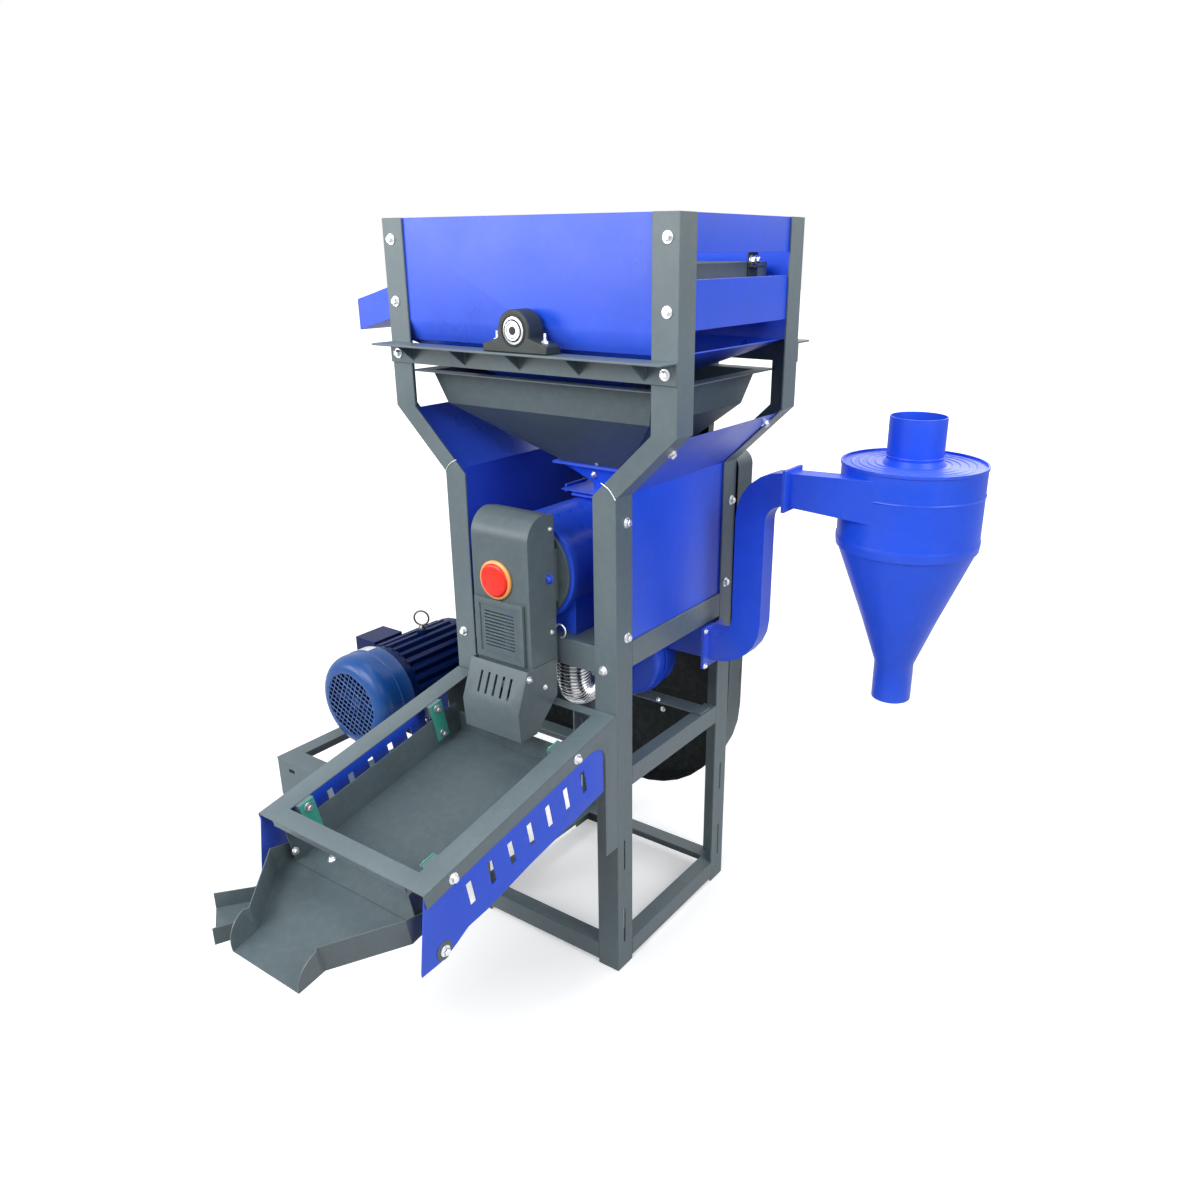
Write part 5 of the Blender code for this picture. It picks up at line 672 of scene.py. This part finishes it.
def make_bearings():
    """The rings, set screws and studs of the two bearing blocks, and a black disc as painted shade
    of the shaft's centre hole.
    """
    for name, face_y, foot_y, side in BEARINGS:
        outward = Y_AXIS * side
        place = at(BEARING_X, face_y, BEARING_Z)
        matrix = looking(place, outward)
        ring = bmesh.new()
        revolve(ring, COVER_RING, matrix)
        solid(f"bearing_ring_{name}", ring, RUBBER, "frame")
        insert = bmesh.new()
        revolve(insert, INSERT_RING, matrix)
        revolve(insert, LOCK_RING, matrix)
        for degrees in SET_SCREW_ANGLES:
            angle = math.radians(degrees)
            spot = place + (X_AXIS * math.cos(angle) + Z_AXIS * math.sin(angle)) * SET_SCREW_R
            disc_ring(insert, SET_SCREW, SET_SCREW_SIDES, looking(spot, outward))
        for offset in (-STUD_HALF, STUD_HALF):
            add_stud(insert, at(BEARING_X + offset, foot_y, BEARING_FOOT_Z), Z_AXIS)
        solid(f"bearing_insert_{name}", insert, ZINC, "frame")
        # The black disc that paints the centre hole's shade
        centre = bmesh.new()
        end = looking(place + outward * SHAFT_REACH, outward)
        disc_ring(centre, CENTRE_HOLE_SHADE, CENTRE_SIDES, end)
        solid(f"shaft_hole_shade_{name}", centre, RUBBER, "eccentric")
        seal = bmesh.new()
        revolve(seal, SEAL_RING, matrix)
        solid(f"bearing_seal_{name}", seal, RUBBER, "frame")


# Suction hose
HOSE_R = 0.035
HOSE_SIDES = 40
HOSE_STEPS = 60
HOSE_RINGS = 44
HOSE_SAMPLES = 6
HOSE_GROOVE = 0.0045
HOSE_START = at(0.045, 0.075, 0.7037)
HOSE_END = at(0.02, 0.2447, 0.5675)
HOSE_STUB = 0.012
HOSE_DROP = Z_AXIS * 0.150 + Y_AXIS * 0.012
HOSE_DIP = Y_AXIS * 0.130 + Z_AXIS * 0.034
CLAMP_SECTION = ((-0.002, -0.004), (0.0012, -0.004), (0.0012, 0.003), (-0.002, 0.003))
CLAMPS = ((HOSE_START - Z_AXIS * 0.004, Z_AXIS), (HOSE_END - Y_AXIS * 0.006, Y_AXIS))


def make_hose():
    """The hose as rolled metal rings, from the mill's outlet to the blower's inlet."""
    drop = HOSE_START - Z_AXIS * HOSE_STUB
    entry = HOSE_END - Y_AXIS * HOSE_STUB
    bend_start = drop - HOSE_DROP
    bend_end = entry - HOSE_DIP
    route = [HOSE_START]
    for index in range(HOSE_STEPS + 1):
        t = index / HOSE_STEPS
        near = drop * (1 - t) ** 3 + bend_start * (3 * t * (1 - t) ** 2)
        route.append(near + bend_end * (3 * t**2 * (1 - t)) + entry * t**3)
    route.append(HOSE_END)
    lengths = [0.0]
    for first, second in zip(route, route[1:]):
        lengths.append(lengths[-1] + (second - first).length)
    points = []
    radii = []
    samples = HOSE_RINGS * HOSE_SAMPLES
    leg = 0
    for index in range(samples + 1):
        along = lengths[-1] * index / samples
        while leg < len(route) - 2 and lengths[leg + 1] < along:
            leg += 1
        share = (along - lengths[leg]) / (lengths[leg + 1] - lengths[leg])
        points.append(route[leg].lerp(route[leg + 1], share))
        crest = abs(math.sin(math.pi * index / HOSE_SAMPLES))
        radii.append(HOSE_R - HOSE_GROOVE * (1 - crest))
    shape = bmesh.new()
    sweep(shape, points, radii, HOSE_SIDES)
    hose = solid("hose_rings", shape, HOSE_STEEL, "frame", ROUND_CREASE)
    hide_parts("suction_hose")
    clamps = bmesh.new()
    section = [(HOSE_R + out, height) for out, height in CLAMP_SECTION]
    for place, axis in CLAMPS:
        revolve(clamps, section, looking(place, axis))
    solid("hose_clamps", clamps, ZINC, "frame")


# Red cap on the cover
CAP_X = -0.008
CAP_Z = 0.83
CAP_BACK = -0.0803
CAP_SIDES = 64
CAP_RIM = (
    (0.0365, 0),
    (0.0365, 0.0035),
    (0.0352, 0.005),
    (0.0325, 0.0058),
    (0.031, 0.005),
    (0.031, 0),
)
CAP_DOME = ((0.0312, 0), (0.0312, 0.0068), (0.0296, 0.0085), (0.026, 0.0094), (0.012, 0.0097))


def make_cap():
    matrix = looking(at(CAP_X, CAP_BACK, CAP_Z), -Y_AXIS)
    rim = bmesh.new()
    revolve(rim, CAP_RIM, matrix, CAP_SIDES)
    solid("cap_rim", rim, ORANGE, "frame")
    dome = bmesh.new()
    disc_ring(dome, CAP_DOME, CAP_SIDES, matrix)
    cap = solid("cap_dome", dome, RED, "frame", TURNED_CREASE)
    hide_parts("red_cap")


# Motor
MOTOR_X = -0.60
MOTOR_Z = 0.372
MOTOR_FRONT = 0.027
COWL_BACK = 0.127
COWL_R = 0.115
COWL_SIDES = 96
GRILLE_R = 0.081
CROWN_R = GRILLE_R + 0.002
CROWN_STEPS = 12
CROWN_DEPTH = 0.036
CROWN_WALL = 0.0035
CROWN_RISE = 0.0001
COWL_LIP = 0.003
COWL_SKIN = 0.0006
COWL_WALL = 0.0026
BEAD_STEPS = 6
BEAD_Z = 0.036
BEAD_HALF = 0.003
BEAD_RISE = 0.0016
MESH_PITCH = 0.0128
MESH_WIRE = 0.0015
MESH_SIDES = 6
MESH_INSET = 0.0018
MESH_CLEAR = 0.0005
MESH_TURNS = (-24, 66)
EYE_Y = 0.27
EYE_Z = 0.486
EYE_R = 0.0185
EYE_WIRE = 0.0024
EYE_WIRE_SIDES = 12
EYE_SIDES = 32
EYE_NECK = 0.013
EYE_FOOT = ((0.0095, 0), (0.0095, 0.006), (0.008, 0.009), (0.0055, EYE_NECK))
EYE_HEADING = X_AXIS * 0.6 - Y_AXIS


def cowl_section():
    """The cowl's wall: out over the crown and the bead to the back, and inside back again."""
    depth = COWL_BACK - MOTOR_FRONT
    inner = CROWN_R - CROWN_WALL
    loop = [(inner, depth - COWL_LIP), (inner, depth), (CROWN_R, depth + CROWN_RISE)]
    for out, fore in quarter(CROWN_STEPS):
        loop.append((CROWN_R + (COWL_R - CROWN_R) * out, depth - CROWN_DEPTH * (1 - fore)))
    for index in range(BEAD_STEPS + 1):
        angle = math.pi * index / BEAD_STEPS
        radius = COWL_R + BEAD_RISE * math.sin(angle) - COWL_SKIN
        loop.append((radius, BEAD_Z + BEAD_HALF * math.cos(angle)))
    loop += [(COWL_R - COWL_SKIN, 0), (COWL_R - COWL_WALL, 0)]
    for out, fore in reversed(quarter(CROWN_STEPS)):
        height = depth - COWL_LIP - (CROWN_DEPTH - COWL_LIP) * (1 - fore)
        loop.append((inner + (COWL_R - COWL_WALL - inner) * out, height))
    return loop


def make_motor_details():
    """The fan cowl with its round front, a beaded edge and a square mesh, and the lifting eye."""
    cowl = bmesh.new()
    matrix = looking(at(MOTOR_X, COWL_BACK, MOTOR_Z), -Y_AXIS)
    revolve(cowl, cowl_section(), matrix, COWL_SIDES)
    hood = solid("cowl_shell", cowl, MOTOR_PAINT, "frame", COWL_CREASE)
    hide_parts("fan_cowl")
    mesh = bmesh.new()
    count = int(GRILLE_R / MESH_PITCH)
    centre = at(MOTOR_X, MOTOR_FRONT + MESH_INSET, MOTOR_Z)
    for index in range(-count, count + 1):
        offset = index * MESH_PITCH
        reach = math.sqrt(GRILLE_R**2 - offset**2) - MESH_CLEAR
        if reach < MESH_PITCH:
            continue
        for degrees in MESH_TURNS:
            turn = math.radians(degrees)
            along = Vector((math.cos(turn), 0, math.sin(turn))) * reach
            beside = Vector((-math.sin(turn), 0, math.cos(turn))) * offset
            middle = centre + beside
            sweep(mesh, [middle - along, middle + along], [MESH_WIRE, MESH_WIRE], MESH_SIDES)
    grille = solid("cowl_mesh", mesh, MOTOR_PAINT, "frame", ROUND_CREASE)
    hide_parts("fan_cowl")
    eye = bmesh.new()
    place = at(MOTOR_X, EYE_Y, EYE_Z)
    disc_ring(eye, EYE_FOOT, EYE_SIDES, looking(place, Z_AXIS))
    wire = [(EYE_R + EYE_WIRE * x, EYE_WIRE * y) for x, y in circle(EYE_WIRE_SIDES)]
    revolve(eye, wire, looking(place + Z_AXIS * (EYE_R + EYE_NECK), EYE_HEADING))
    solid("motor_eye", eye, EYE_STEEL, "frame", TURNED_CREASE)


# Cyclone lid
CYCLONE_X = 0.5605
CYCLONE_Y = 0.43
LID_Z = 1.021
LID_SIDES = 72
LID_RINGS = (0.068, 0.082, 0.097, 0.111)
LID_SECTION = ((-0.0035, -0.0005), (-0.0012, 0.0014), (0.0012, 0.0014), (0.0035, -0.0005))


def make_lid_rings():
    """The pressed rings in the cyclone's lid."""
    shape = bmesh.new()
    matrix = Matrix.Translation(at(CYCLONE_X, CYCLONE_Y, LID_Z))
    for radius in LID_RINGS:
        loop = [(radius + out, height) for out, height in LID_SECTION]
        revolve(shape, loop, matrix, LID_SIDES)
    solid("lid_rings", shape, BLUE_PAINT, "frame", ROUND_CREASE)


# What lies on the tray's slope: the main chute and the green leaves' bolts
SHEET = 0.002
TRAY_RISE = 0.5855
TRAY_TILT = math.radians(11.13)
LEAF_FACE = 0.1453
LEAF_PLACES = (0.1248, 0.4429)
LEAF_ENDS = (("frame", -0.0115), ("grader", -0.0695))
LEAF_BOLT = 0.0058
LEAF_HEAD = 1.1


def on_tray(x, forward, up):
    """A point given along the tray's slope and square to it."""
    level = math.cos(TRAY_TILT)
    drop = math.sin(TRAY_TILT)
    return at(x, -forward * level - up * drop, TRAY_RISE - forward * drop + up * level)


# Places along the slope, with the chute's half width and its walls' height there
CHUTE_STATIONS = ((0.470, 0.166, 0.0275), (0.523, 0.166, 0.050), (0.627, 0.083, 0.050))
CHUTE_FLOOR = -0.0975
CHUTE_LIP = 0.676
CHUTE_LIP_HALF = 0.081
CHUTE_FLARE = 0.006
CHUTE_STEPS = 12


def make_chute():
    """The main chute: folded walls, the last flap of each rounded off and flared outward."""
    stations = [(forward, half, height, 0.0) for forward, half, height in CHUTE_STATIONS]
    neck, neck_half, tall = CHUTE_STATIONS[-1]
    for index, (ahead, left) in enumerate(quarter(CHUTE_STEPS), 1):
        forward = neck + (CHUTE_LIP - neck) * ahead
        half = neck_half + (CHUTE_LIP_HALF - neck_half) * index / CHUTE_STEPS
        stations.append((forward, half, max(tall * left, SHEET * 1.5), CHUTE_FLARE * left))
    rings = []
    for forward, half, height, flare in stations:
        top = CHUTE_FLOOR + height - SHEET
        low = CHUTE_FLOOR - SHEET
        section = (
            (-half - flare, top),
            (-half, low),
            (half, low),
            (half + flare, top),
            (half + flare - SHEET, top),
            (half - SHEET, CHUTE_FLOOR),
            (-half + SHEET, CHUTE_FLOOR),
            (-half - flare + SHEET, top),
        )
        rings.append([on_tray(x, forward, up) for x, up in section])
    shape = bmesh.new()
    extrude(shape, rings)
    chute = solid("chute_sheet", shape, GREY_SHEET_AND_SHADE, "grader", CHUTE_CREASE)
    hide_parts("main_chute")


def make_leaf_bolts():
    for body, up in LEAF_ENDS:
        shape = bmesh.new()
        for forward in LEAF_PLACES:
            for side in (-1, 1):
                face = on_tray(side * LEAF_FACE, forward, up)
                add_bolt(shape, face, -X_AXIS * side, LEAF_BOLT, forward, LEAF_HEAD)
        solid(f"leaf_bolts_{body}", shape, ZINC, body)


# Small bolts seated by a ray to the left: the ray's start, size
SMALL_TURN = 0.7
SMALL_BOLTS = (
    (0.25, 0.287, 0.660, 0.004),
    (0.25, 0.287, 0.584, 0.004),
    (0.25, 0.353, 0.584, 0.004),
)
# Small bolts at their places in the photograph: body, across, down, size
SEEN_TURN = 0.5
SEEN_BOLTS = (
    ("frame", 550, 529, 0.0032),
    ("frame", 552, 632, 0.0032),
    ("frame", 529, 680, 0.0046),
    ("frame", 545, 687, 0.0034),
    ("frame", 658.5, 700, 0.0045),
    ("frame", 663, 709, 0.0045),
    ("frame", 594, 475, 0.0046),
    ("frame", 597, 464.5, 0.0032),
    ("grader", 295.4, 850.8, 0.005),
    ("grader", 332.1, 859.2, 0.005),
)
# Painted bolts in a circle round the cover
COVER_Y = -0.0262
COVER_Z = 0.83
COVER_BOLT_R = 0.071
COVER_BOLT = 0.0062
COVER_BOLT_ANGLES = (1.6, 91.6, 181.6, 271.6)
# Screws that hold the two guards, on their back faces: x, z
GUARD_SCREW_Y = 0.8
GUARD_SCREW = 0.0046
GUARD_SCREW_TURN = 0.6
GUARD_SCREWS = (
    (-0.53, 0.33),
    (-0.30, 0.27),
    (0.10, 0.36),
    (0.165, 0.60),
    (0.155, 0.90),
    (-0.30, 0.75),
    (-0.655, 0.40),
    (0.0, 0.785),
    (0.0245, 1.305),
)
# Round bosses behind the bolts that hold the side plates
BOSS_START = (0.24, -0.460, 0.367)
BOSS = ((0.0165, 0), (0.0165, 0.0011), (0.0158, 0.0016))
BOSS_SIDES = 40


def make_guard_screws():
    shape = bmesh.new()
    for index, (x, z) in enumerate(GUARD_SCREWS):
        place, normal = cast(at(x, GUARD_SCREW_Y, z), BACK)
        add_bolt(shape, place, normal, GUARD_SCREW, index * GUARD_SCREW_TURN)
    solid("guard_screws", shape, ZINC, "frame")


def make_side_bosses():
    shape = bmesh.new()
    x, y, z = BOSS_START
    for side in (-1, 1):
        place, normal = cast(at(side * x, y, z), X_AXIS * -side)
        disc_ring(shape, BOSS, BOSS_SIDES, looking(place, normal))
    solid("side_bosses", shape, GREY_SHEET_AND_SHADE, "frame")


def make_small_bolts(camera):
    shapes = {"frame": bmesh.new(), "grader": bmesh.new()}
    for index, (x, y, z, size) in enumerate(SMALL_BOLTS):
        place, normal = cast(at(x, y, z), SIDE)
        add_bolt(shapes["frame"], place, normal, size, index * SMALL_TURN)
    for index, (body, across, down, size) in enumerate(SEEN_BOLTS):
        place, normal = seen(camera, across, down)
        add_bolt(shapes[body], place, normal, size, index * SEEN_TURN)
    for body, shape in shapes.items():
        solid(f"small_bolts_{body}", shape, ZINC, body)
    painted = bmesh.new()
    for degrees in COVER_BOLT_ANGLES:
        turn = math.radians(degrees)
        x, z = COVER_BOLT_R * math.cos(turn), COVER_BOLT_R * math.sin(turn)
        add_bolt(painted, at(x, COVER_Y, COVER_Z + z), -Y_AXIS, COVER_BOLT, turn)
    solid("disc_bolts", painted, BLUE_PAINT, "frame")


# The blower's round casing
BLOWER_X = 0.02
BLOWER_Z = 0.5675
BLOWER_R = 0.0925
BLOWER_SIDES = 72
BLOWER_FRONT = 0.265
BLOWER_BACK = 0.341
CASING_ROUND = 0.012
CASING_STEPS = 6
COLLAR_FRONT = 0.245
COLLAR_R = 0.0375
SEAM_SHARE = 0.55
SEAM_THICK = 0.003
SEAM_REACH = 0.004
OUTLET_END = 0.2127
OUTLET_Y0 = 0.299
OUTLET_Y1 = 0.341
OUTLET_TOP = 0.660
OUTLET_HEIGHT = 0.063
OUTLET_STEPS = 12
FLANGE_REACH = 0.018
FLANGE_RISE = 0.0045
FLANGE_THICK = 0.003


def casing_section():
    """The casing as one thick ring, in radius and height over its back, with collar and seam."""
    depth = BLOWER_BACK - BLOWER_FRONT
    collar = BLOWER_BACK - COLLAR_FRONT
    bore = COLLAR_R - SHEET
    shoulder = BLOWER_R - CASING_ROUND
    loop = [(bore, depth - SHEET), (bore, collar), (COLLAR_R, collar), (COLLAR_R, depth)]
    loop.append((shoulder, depth))
    for out, fore in quarter(CASING_STEPS):
        loop.append((shoulder + CASING_ROUND * out, depth - CASING_ROUND * (1 - fore)))
    low = depth * SEAM_SHARE
    high = low + SEAM_THICK
    rim = BLOWER_R + SEAM_REACH
    loop += [(BLOWER_R, high), (rim, high), (rim, low), (BLOWER_R, low)]
    return loop + [(BLOWER_R, 0), (bore, 0)]


def make_blower():
    """The blower as a round casing with a seam flange, an inlet collar and a straight outlet."""
    shape = bmesh.new()
    matrix = looking(at(BLOWER_X, BLOWER_BACK, BLOWER_Z), -Y_AXIS)
    revolve(shape, casing_section(), matrix, BLOWER_SIDES)
    casing = solid("blower_casing", shape, BLUE_PAINT, "frame", TURNED_CREASE)
    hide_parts("blower_housing")
    low = OUTLET_TOP - OUTLET_HEIGHT
    end = OUTLET_END - FLANGE_THICK
    outline = [(end, low), (end, OUTLET_TOP)]
    start = math.asin((low - BLOWER_Z) / BLOWER_R)
    for index in range(OUTLET_STEPS + 1):
        angle = math.pi / 2 + (start - math.pi / 2) * index / OUTLET_STEPS
        x, z = BLOWER_R * math.cos(angle), BLOWER_R * math.sin(angle)
        outline.append((BLOWER_X + x, BLOWER_Z + z))
    outlet = bmesh.new()
    extrude(outlet, [[at(x, y, z) for x, z in outline] for y in (OUTLET_Y0, OUTLET_Y1)])
    plate = bmesh.new()
    corner = at(end, OUTLET_Y0 - FLANGE_REACH, low - FLANGE_REACH)
    add_box(plate, corner, at(OUTLET_END, OUTLET_Y1 + FLANGE_REACH, OUTLET_TOP + FLANGE_RISE))
    for name, shape in (("blower_outlet", outlet), ("blower_flange", plate)):
        piece = solid(name, shape, BLUE_PAINT, "frame")
        rounded(piece, SHEET_EDGE)
        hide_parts("blower_housing")


# Wire hook below the mill's end disc
HOOK_X = 0.078
HOOK_Y = -0.0075
HOOK_Z = 0.727
HOOK_WIDTH = 0.012
HOOK_HEIGHT = 0.013
HOOK_WIRE = 0.0017
HOOK_FROM = math.radians(150)
HOOK_SWEEP = math.radians(240)
HOOK_STEPS = 12


def make_hook():
    shape = bmesh.new()
    points = []
    for index in range(HOOK_STEPS + 1):
        angle = HOOK_FROM - HOOK_SWEEP * index / HOOK_STEPS
        x, z = HOOK_WIDTH * math.cos(angle), HOOK_HEIGHT * math.sin(angle)
        points.append(at(HOOK_X + x, HOOK_Y, HOOK_Z + z))
    sweep(shape, points, [HOOK_WIRE] * len(points), WIRE_SIDES)
    solid("door_hook", shape, ZINC, "frame", ROUND_CREASE)


# Weld beads where the front legs bend
WELD_START = (0.1696, 1.0154)
WELD_END = (0.1997, 0.9893)
WELD_Y = -0.0006
WELD_R = 0.0010
WELD_BOW = 0.003
WELD_LOW = 0.8
WELD_RIPPLE = 0.35
WELD_PACE = 1.35
WELD_STEPS = 40


def make_welds():
    shape = bmesh.new()
    for side in (-1, 1):
        points = []
        radii = []
        for index in range(WELD_STEPS + 1):
            share = index / WELD_STEPS
            bow = WELD_BOW * math.sin(math.pi * share)
            x, z = [low + (high - low) * share + bow for low, high in zip(WELD_START, WELD_END)]
            points.append(at(side * x, WELD_Y, z))
            radii.append(WELD_R * (WELD_LOW + WELD_RIPPLE * abs(math.sin(index * WELD_PACE))))
        sweep(shape, points, radii, WIRE_SIDES)
    solid("leg_welds", shape, ZINC, "frame", ROUND_CREASE)


# Clamp of the sieve's hanger, on the sieve box's right wall: corners of its two plates
CLAMP_PLATES = (
    ((0.2625, 0.316, 1.338), (0.2655, 0.350, 1.3815)),
    ((0.2655, 0.316, 1.356), (0.279, 0.350, 1.359)),
)
CLAMP_BOLT_PLACES = ((0.2655, 0.325, 1.368), (0.2655, 0.342, 1.368))
CLAMP_BOLT = 0.0055
CLAMP_HEAD = 1.3


def make_clamp():
    clamp = bmesh.new()
    for low, high in CLAMP_PLATES:
        add_box(clamp, at(*low), at(*high))
    piece = solid("hanger_clamp", clamp, CAST_PAINT, "sieve")
    rounded(piece, SHEET_EDGE)
    shape = bmesh.new()
    for x, y, z in CLAMP_BOLT_PLACES:
        add_bolt(shape, at(x, y, z), X_AXIS, CLAMP_BOLT, y, CLAMP_HEAD)
    solid("hanger_bolts", shape, ZINC, "sieve")


# Plain bent plate on the motor's cowl
PLATE_Y = 0.1085
PLATE_HALF = 0.0135
PLATE_SPAN = math.radians(22)
PLATE_TURN = math.radians(-12)
PLATE_INNER = 0.1146
PLATE_OUTER = 0.1152
PLATE_STEPS = 8


def make_motor_plate():
    shape = bmesh.new()
    turn = Matrix.Rotation(PLATE_TURN, 4, "Y")
    place = Matrix.Translation(at(MOTOR_X, PLATE_Y, MOTOR_Z)) @ turn
    rings = []
    for index in range(PLATE_STEPS + 1):
        angle = PLATE_SPAN * (index / PLATE_STEPS - 1 / 2)
        ring = []
        for radius, y in (
            (PLATE_INNER, -PLATE_HALF),
            (PLATE_INNER, PLATE_HALF),
            (PLATE_OUTER, PLATE_HALF),
            (PLATE_OUTER, -PLATE_HALF),
        ):
            ring.append(place @ Vector((radius * math.sin(angle), y, radius * math.cos(angle))))
        rings.append(ring)
    extrude(shape, rings)
    solid("motor_plate", shape, PLATE_STEEL, "frame", ROUND_CREASE)


# Studio
FLOOR_RADII = (0.5, 1.0, 2.0, 3.5, 6.0, 10.0, 18.0, 34.0)
FLOOR_SIDES = 64
FLOOR_PALE = (0.84, 0.84, 0.84)
FLOOR_WHITE = (0.87, 0.87, 0.87)
FLOOR_BOUNCE = (0.12, 0.12, 0.13)
LIFT_NEAR = 0.35
LIFT_FAR = 1.0
LIFT_RANGE = (1.5, 5.0)
WORLD_TINT = (0.92, 0.96, 1.0, 1)
WORLD_STRENGTH = 0.38
WHITE = (1, 1, 1, 1)


def pale(name):
    """The backdrop: white to the camera, more so far off, and grey for the light it throws back."""
    graph = Graph(name)
    mist = graph.noise(0.8, 2.0, 0.5)
    shown = graph.ramp(mist, FLOOR_PALE, FLOOR_WHITE)
    path = graph.add("ShaderNodeLightPath")
    tone = graph.mix(path.outputs["Is Diffuse Ray"], shown, FLOOR_BOUNCE)
    rough = graph.spread(mist, 0.85, 0.95, 0.0, 1.0)
    peel = graph.noise(150.0, 2.0, 0.5)
    graph.finish(tone, rough, graph.bump(peel, 0.05, PEEL_HEIGHT))
    graph.set("Emission Color", WHITE)
    away = graph.add("ShaderNodeVectorMath", operation="LENGTH")
    graph.link(graph.place, away.inputs[0])
    far = graph.spread(away.outputs["Value"], LIFT_NEAR, LIFT_FAR, *LIFT_RANGE)
    lift = graph.add("ShaderNodeMath", operation="MULTIPLY")
    graph.link(far, lift.inputs[0])
    graph.link(path.outputs["Is Camera Ray"], lift.inputs[1])
    graph.link(lift.outputs["Value"], graph.shader.inputs["Emission Strength"])
    return graph.material


def make_stage():
    """One round floor, wide enough that it is plain and pale from every side."""
    shape = bmesh.new()
    centre = shape.verts.new((0, 0, 0))
    turns = circle(FLOOR_SIDES)
    rings = []
    for radius in FLOOR_RADII:
        rings.append([shape.verts.new((radius * x, radius * y, 0)) for x, y in turns])
    for step in range(FLOOR_SIDES):
        after = (step + 1) % FLOOR_SIDES
        shape.faces.new((centre, rings[0][step], rings[0][after]))
        for inner, outer in zip(rings, rings[1:]):
            shape.faces.new((inner[step], outer[step], outer[after], inner[after]))
    mesh = bpy.data.meshes.new("studio_floor")
    shape.to_mesh(mesh)
    shape.free()
    floor = bpy.data.objects.new("studio_floor", mesh)
    bpy.context.scene.collection.objects.link(floor)
    mesh.materials.append(pale("studio_white"))


def make_world():
    """White to the camera and in reflections, and a soft cool light for the rest."""
    world = bpy.data.worlds.new("studio")
    world.use_nodes = True
    tree = world.node_tree
    lit = tree.nodes["Background"]
    lit.inputs["Color"].default_value = WORLD_TINT
    lit.inputs["Strength"].default_value = WORLD_STRENGTH
    shown = tree.nodes.new("ShaderNodeBackground")
    shown.inputs["Color"].default_value = WHITE
    path = tree.nodes.new("ShaderNodeLightPath")
    either = tree.nodes.new("ShaderNodeMath")
    either.operation = "MAXIMUM"
    choose = tree.nodes.new("ShaderNodeMixShader")
    for source, target in (
        (path.outputs["Is Camera Ray"], either.inputs[0]),
        (path.outputs["Is Glossy Ray"], either.inputs[1]),
        (either.outputs["Value"], choose.inputs["Fac"]),
        (lit.outputs["Background"], choose.inputs[1]),
        (shown.outputs["Background"], choose.inputs[2]),
        (choose.outputs["Shader"], tree.nodes["World Output"].inputs["Surface"]),
    ):
        tree.links.new(source, target)
    bpy.context.scene.world = world


def area_light(name, place, target, size, power):
    data = bpy.data.lights.new(name, "AREA")
    data.shape = "RECTANGLE"
    data.size, data.size_y = size
    data.energy = power
    lamp = bpy.data.objects.new(name, data)
    bpy.context.scene.collection.objects.link(lamp)
    lamp.location = place
    aim = Vector(target) - Vector(place)
    lamp.rotation_euler = aim.to_track_quat("-Z", "Y").to_euler()


MIDDLE = (0.0, 0.1, 0.7)
UPPER = (0.0, 0.0, 1.3)
# Name, place, target, size, power
LIGHTS = (
    ("key_light", (-0.6, -3.2, 3.2), MIDDLE, (2.6, 2.0), 118),
    ("front_card", (-2.7, -3.0, 1.75), UPPER, (2.2, 1.3), 60),
    ("side_light", (3.4, -0.4, 2.4), MIDDLE, (2.0, 2.4), 72),
    ("back_light", (0.4, 3.6, 2.6), MIDDLE, (2.6, 2.0), 36),
    ("top_light", (0.2, 0.4, 3.8), MIDDLE, (2.4, 2.4), 36),
)


def make_lights():
    for light in LIGHTS:
        area_light(*light)


photo_camera = make_camera()
make_side_bosses()
make_bolts()
make_guard_screws()
make_small_bolts(photo_camera)
make_skins()
make_bearings()
make_hose()
make_cap()
make_motor_details()
make_lid_rings()
make_leaf_bolts()
make_blower()
make_chute()
make_hook()
make_welds()
make_clamp()
make_motor_plate()
make_stage()
make_world()
make_lights()
bpy.context.scene.view_settings.view_transform = "Standard"
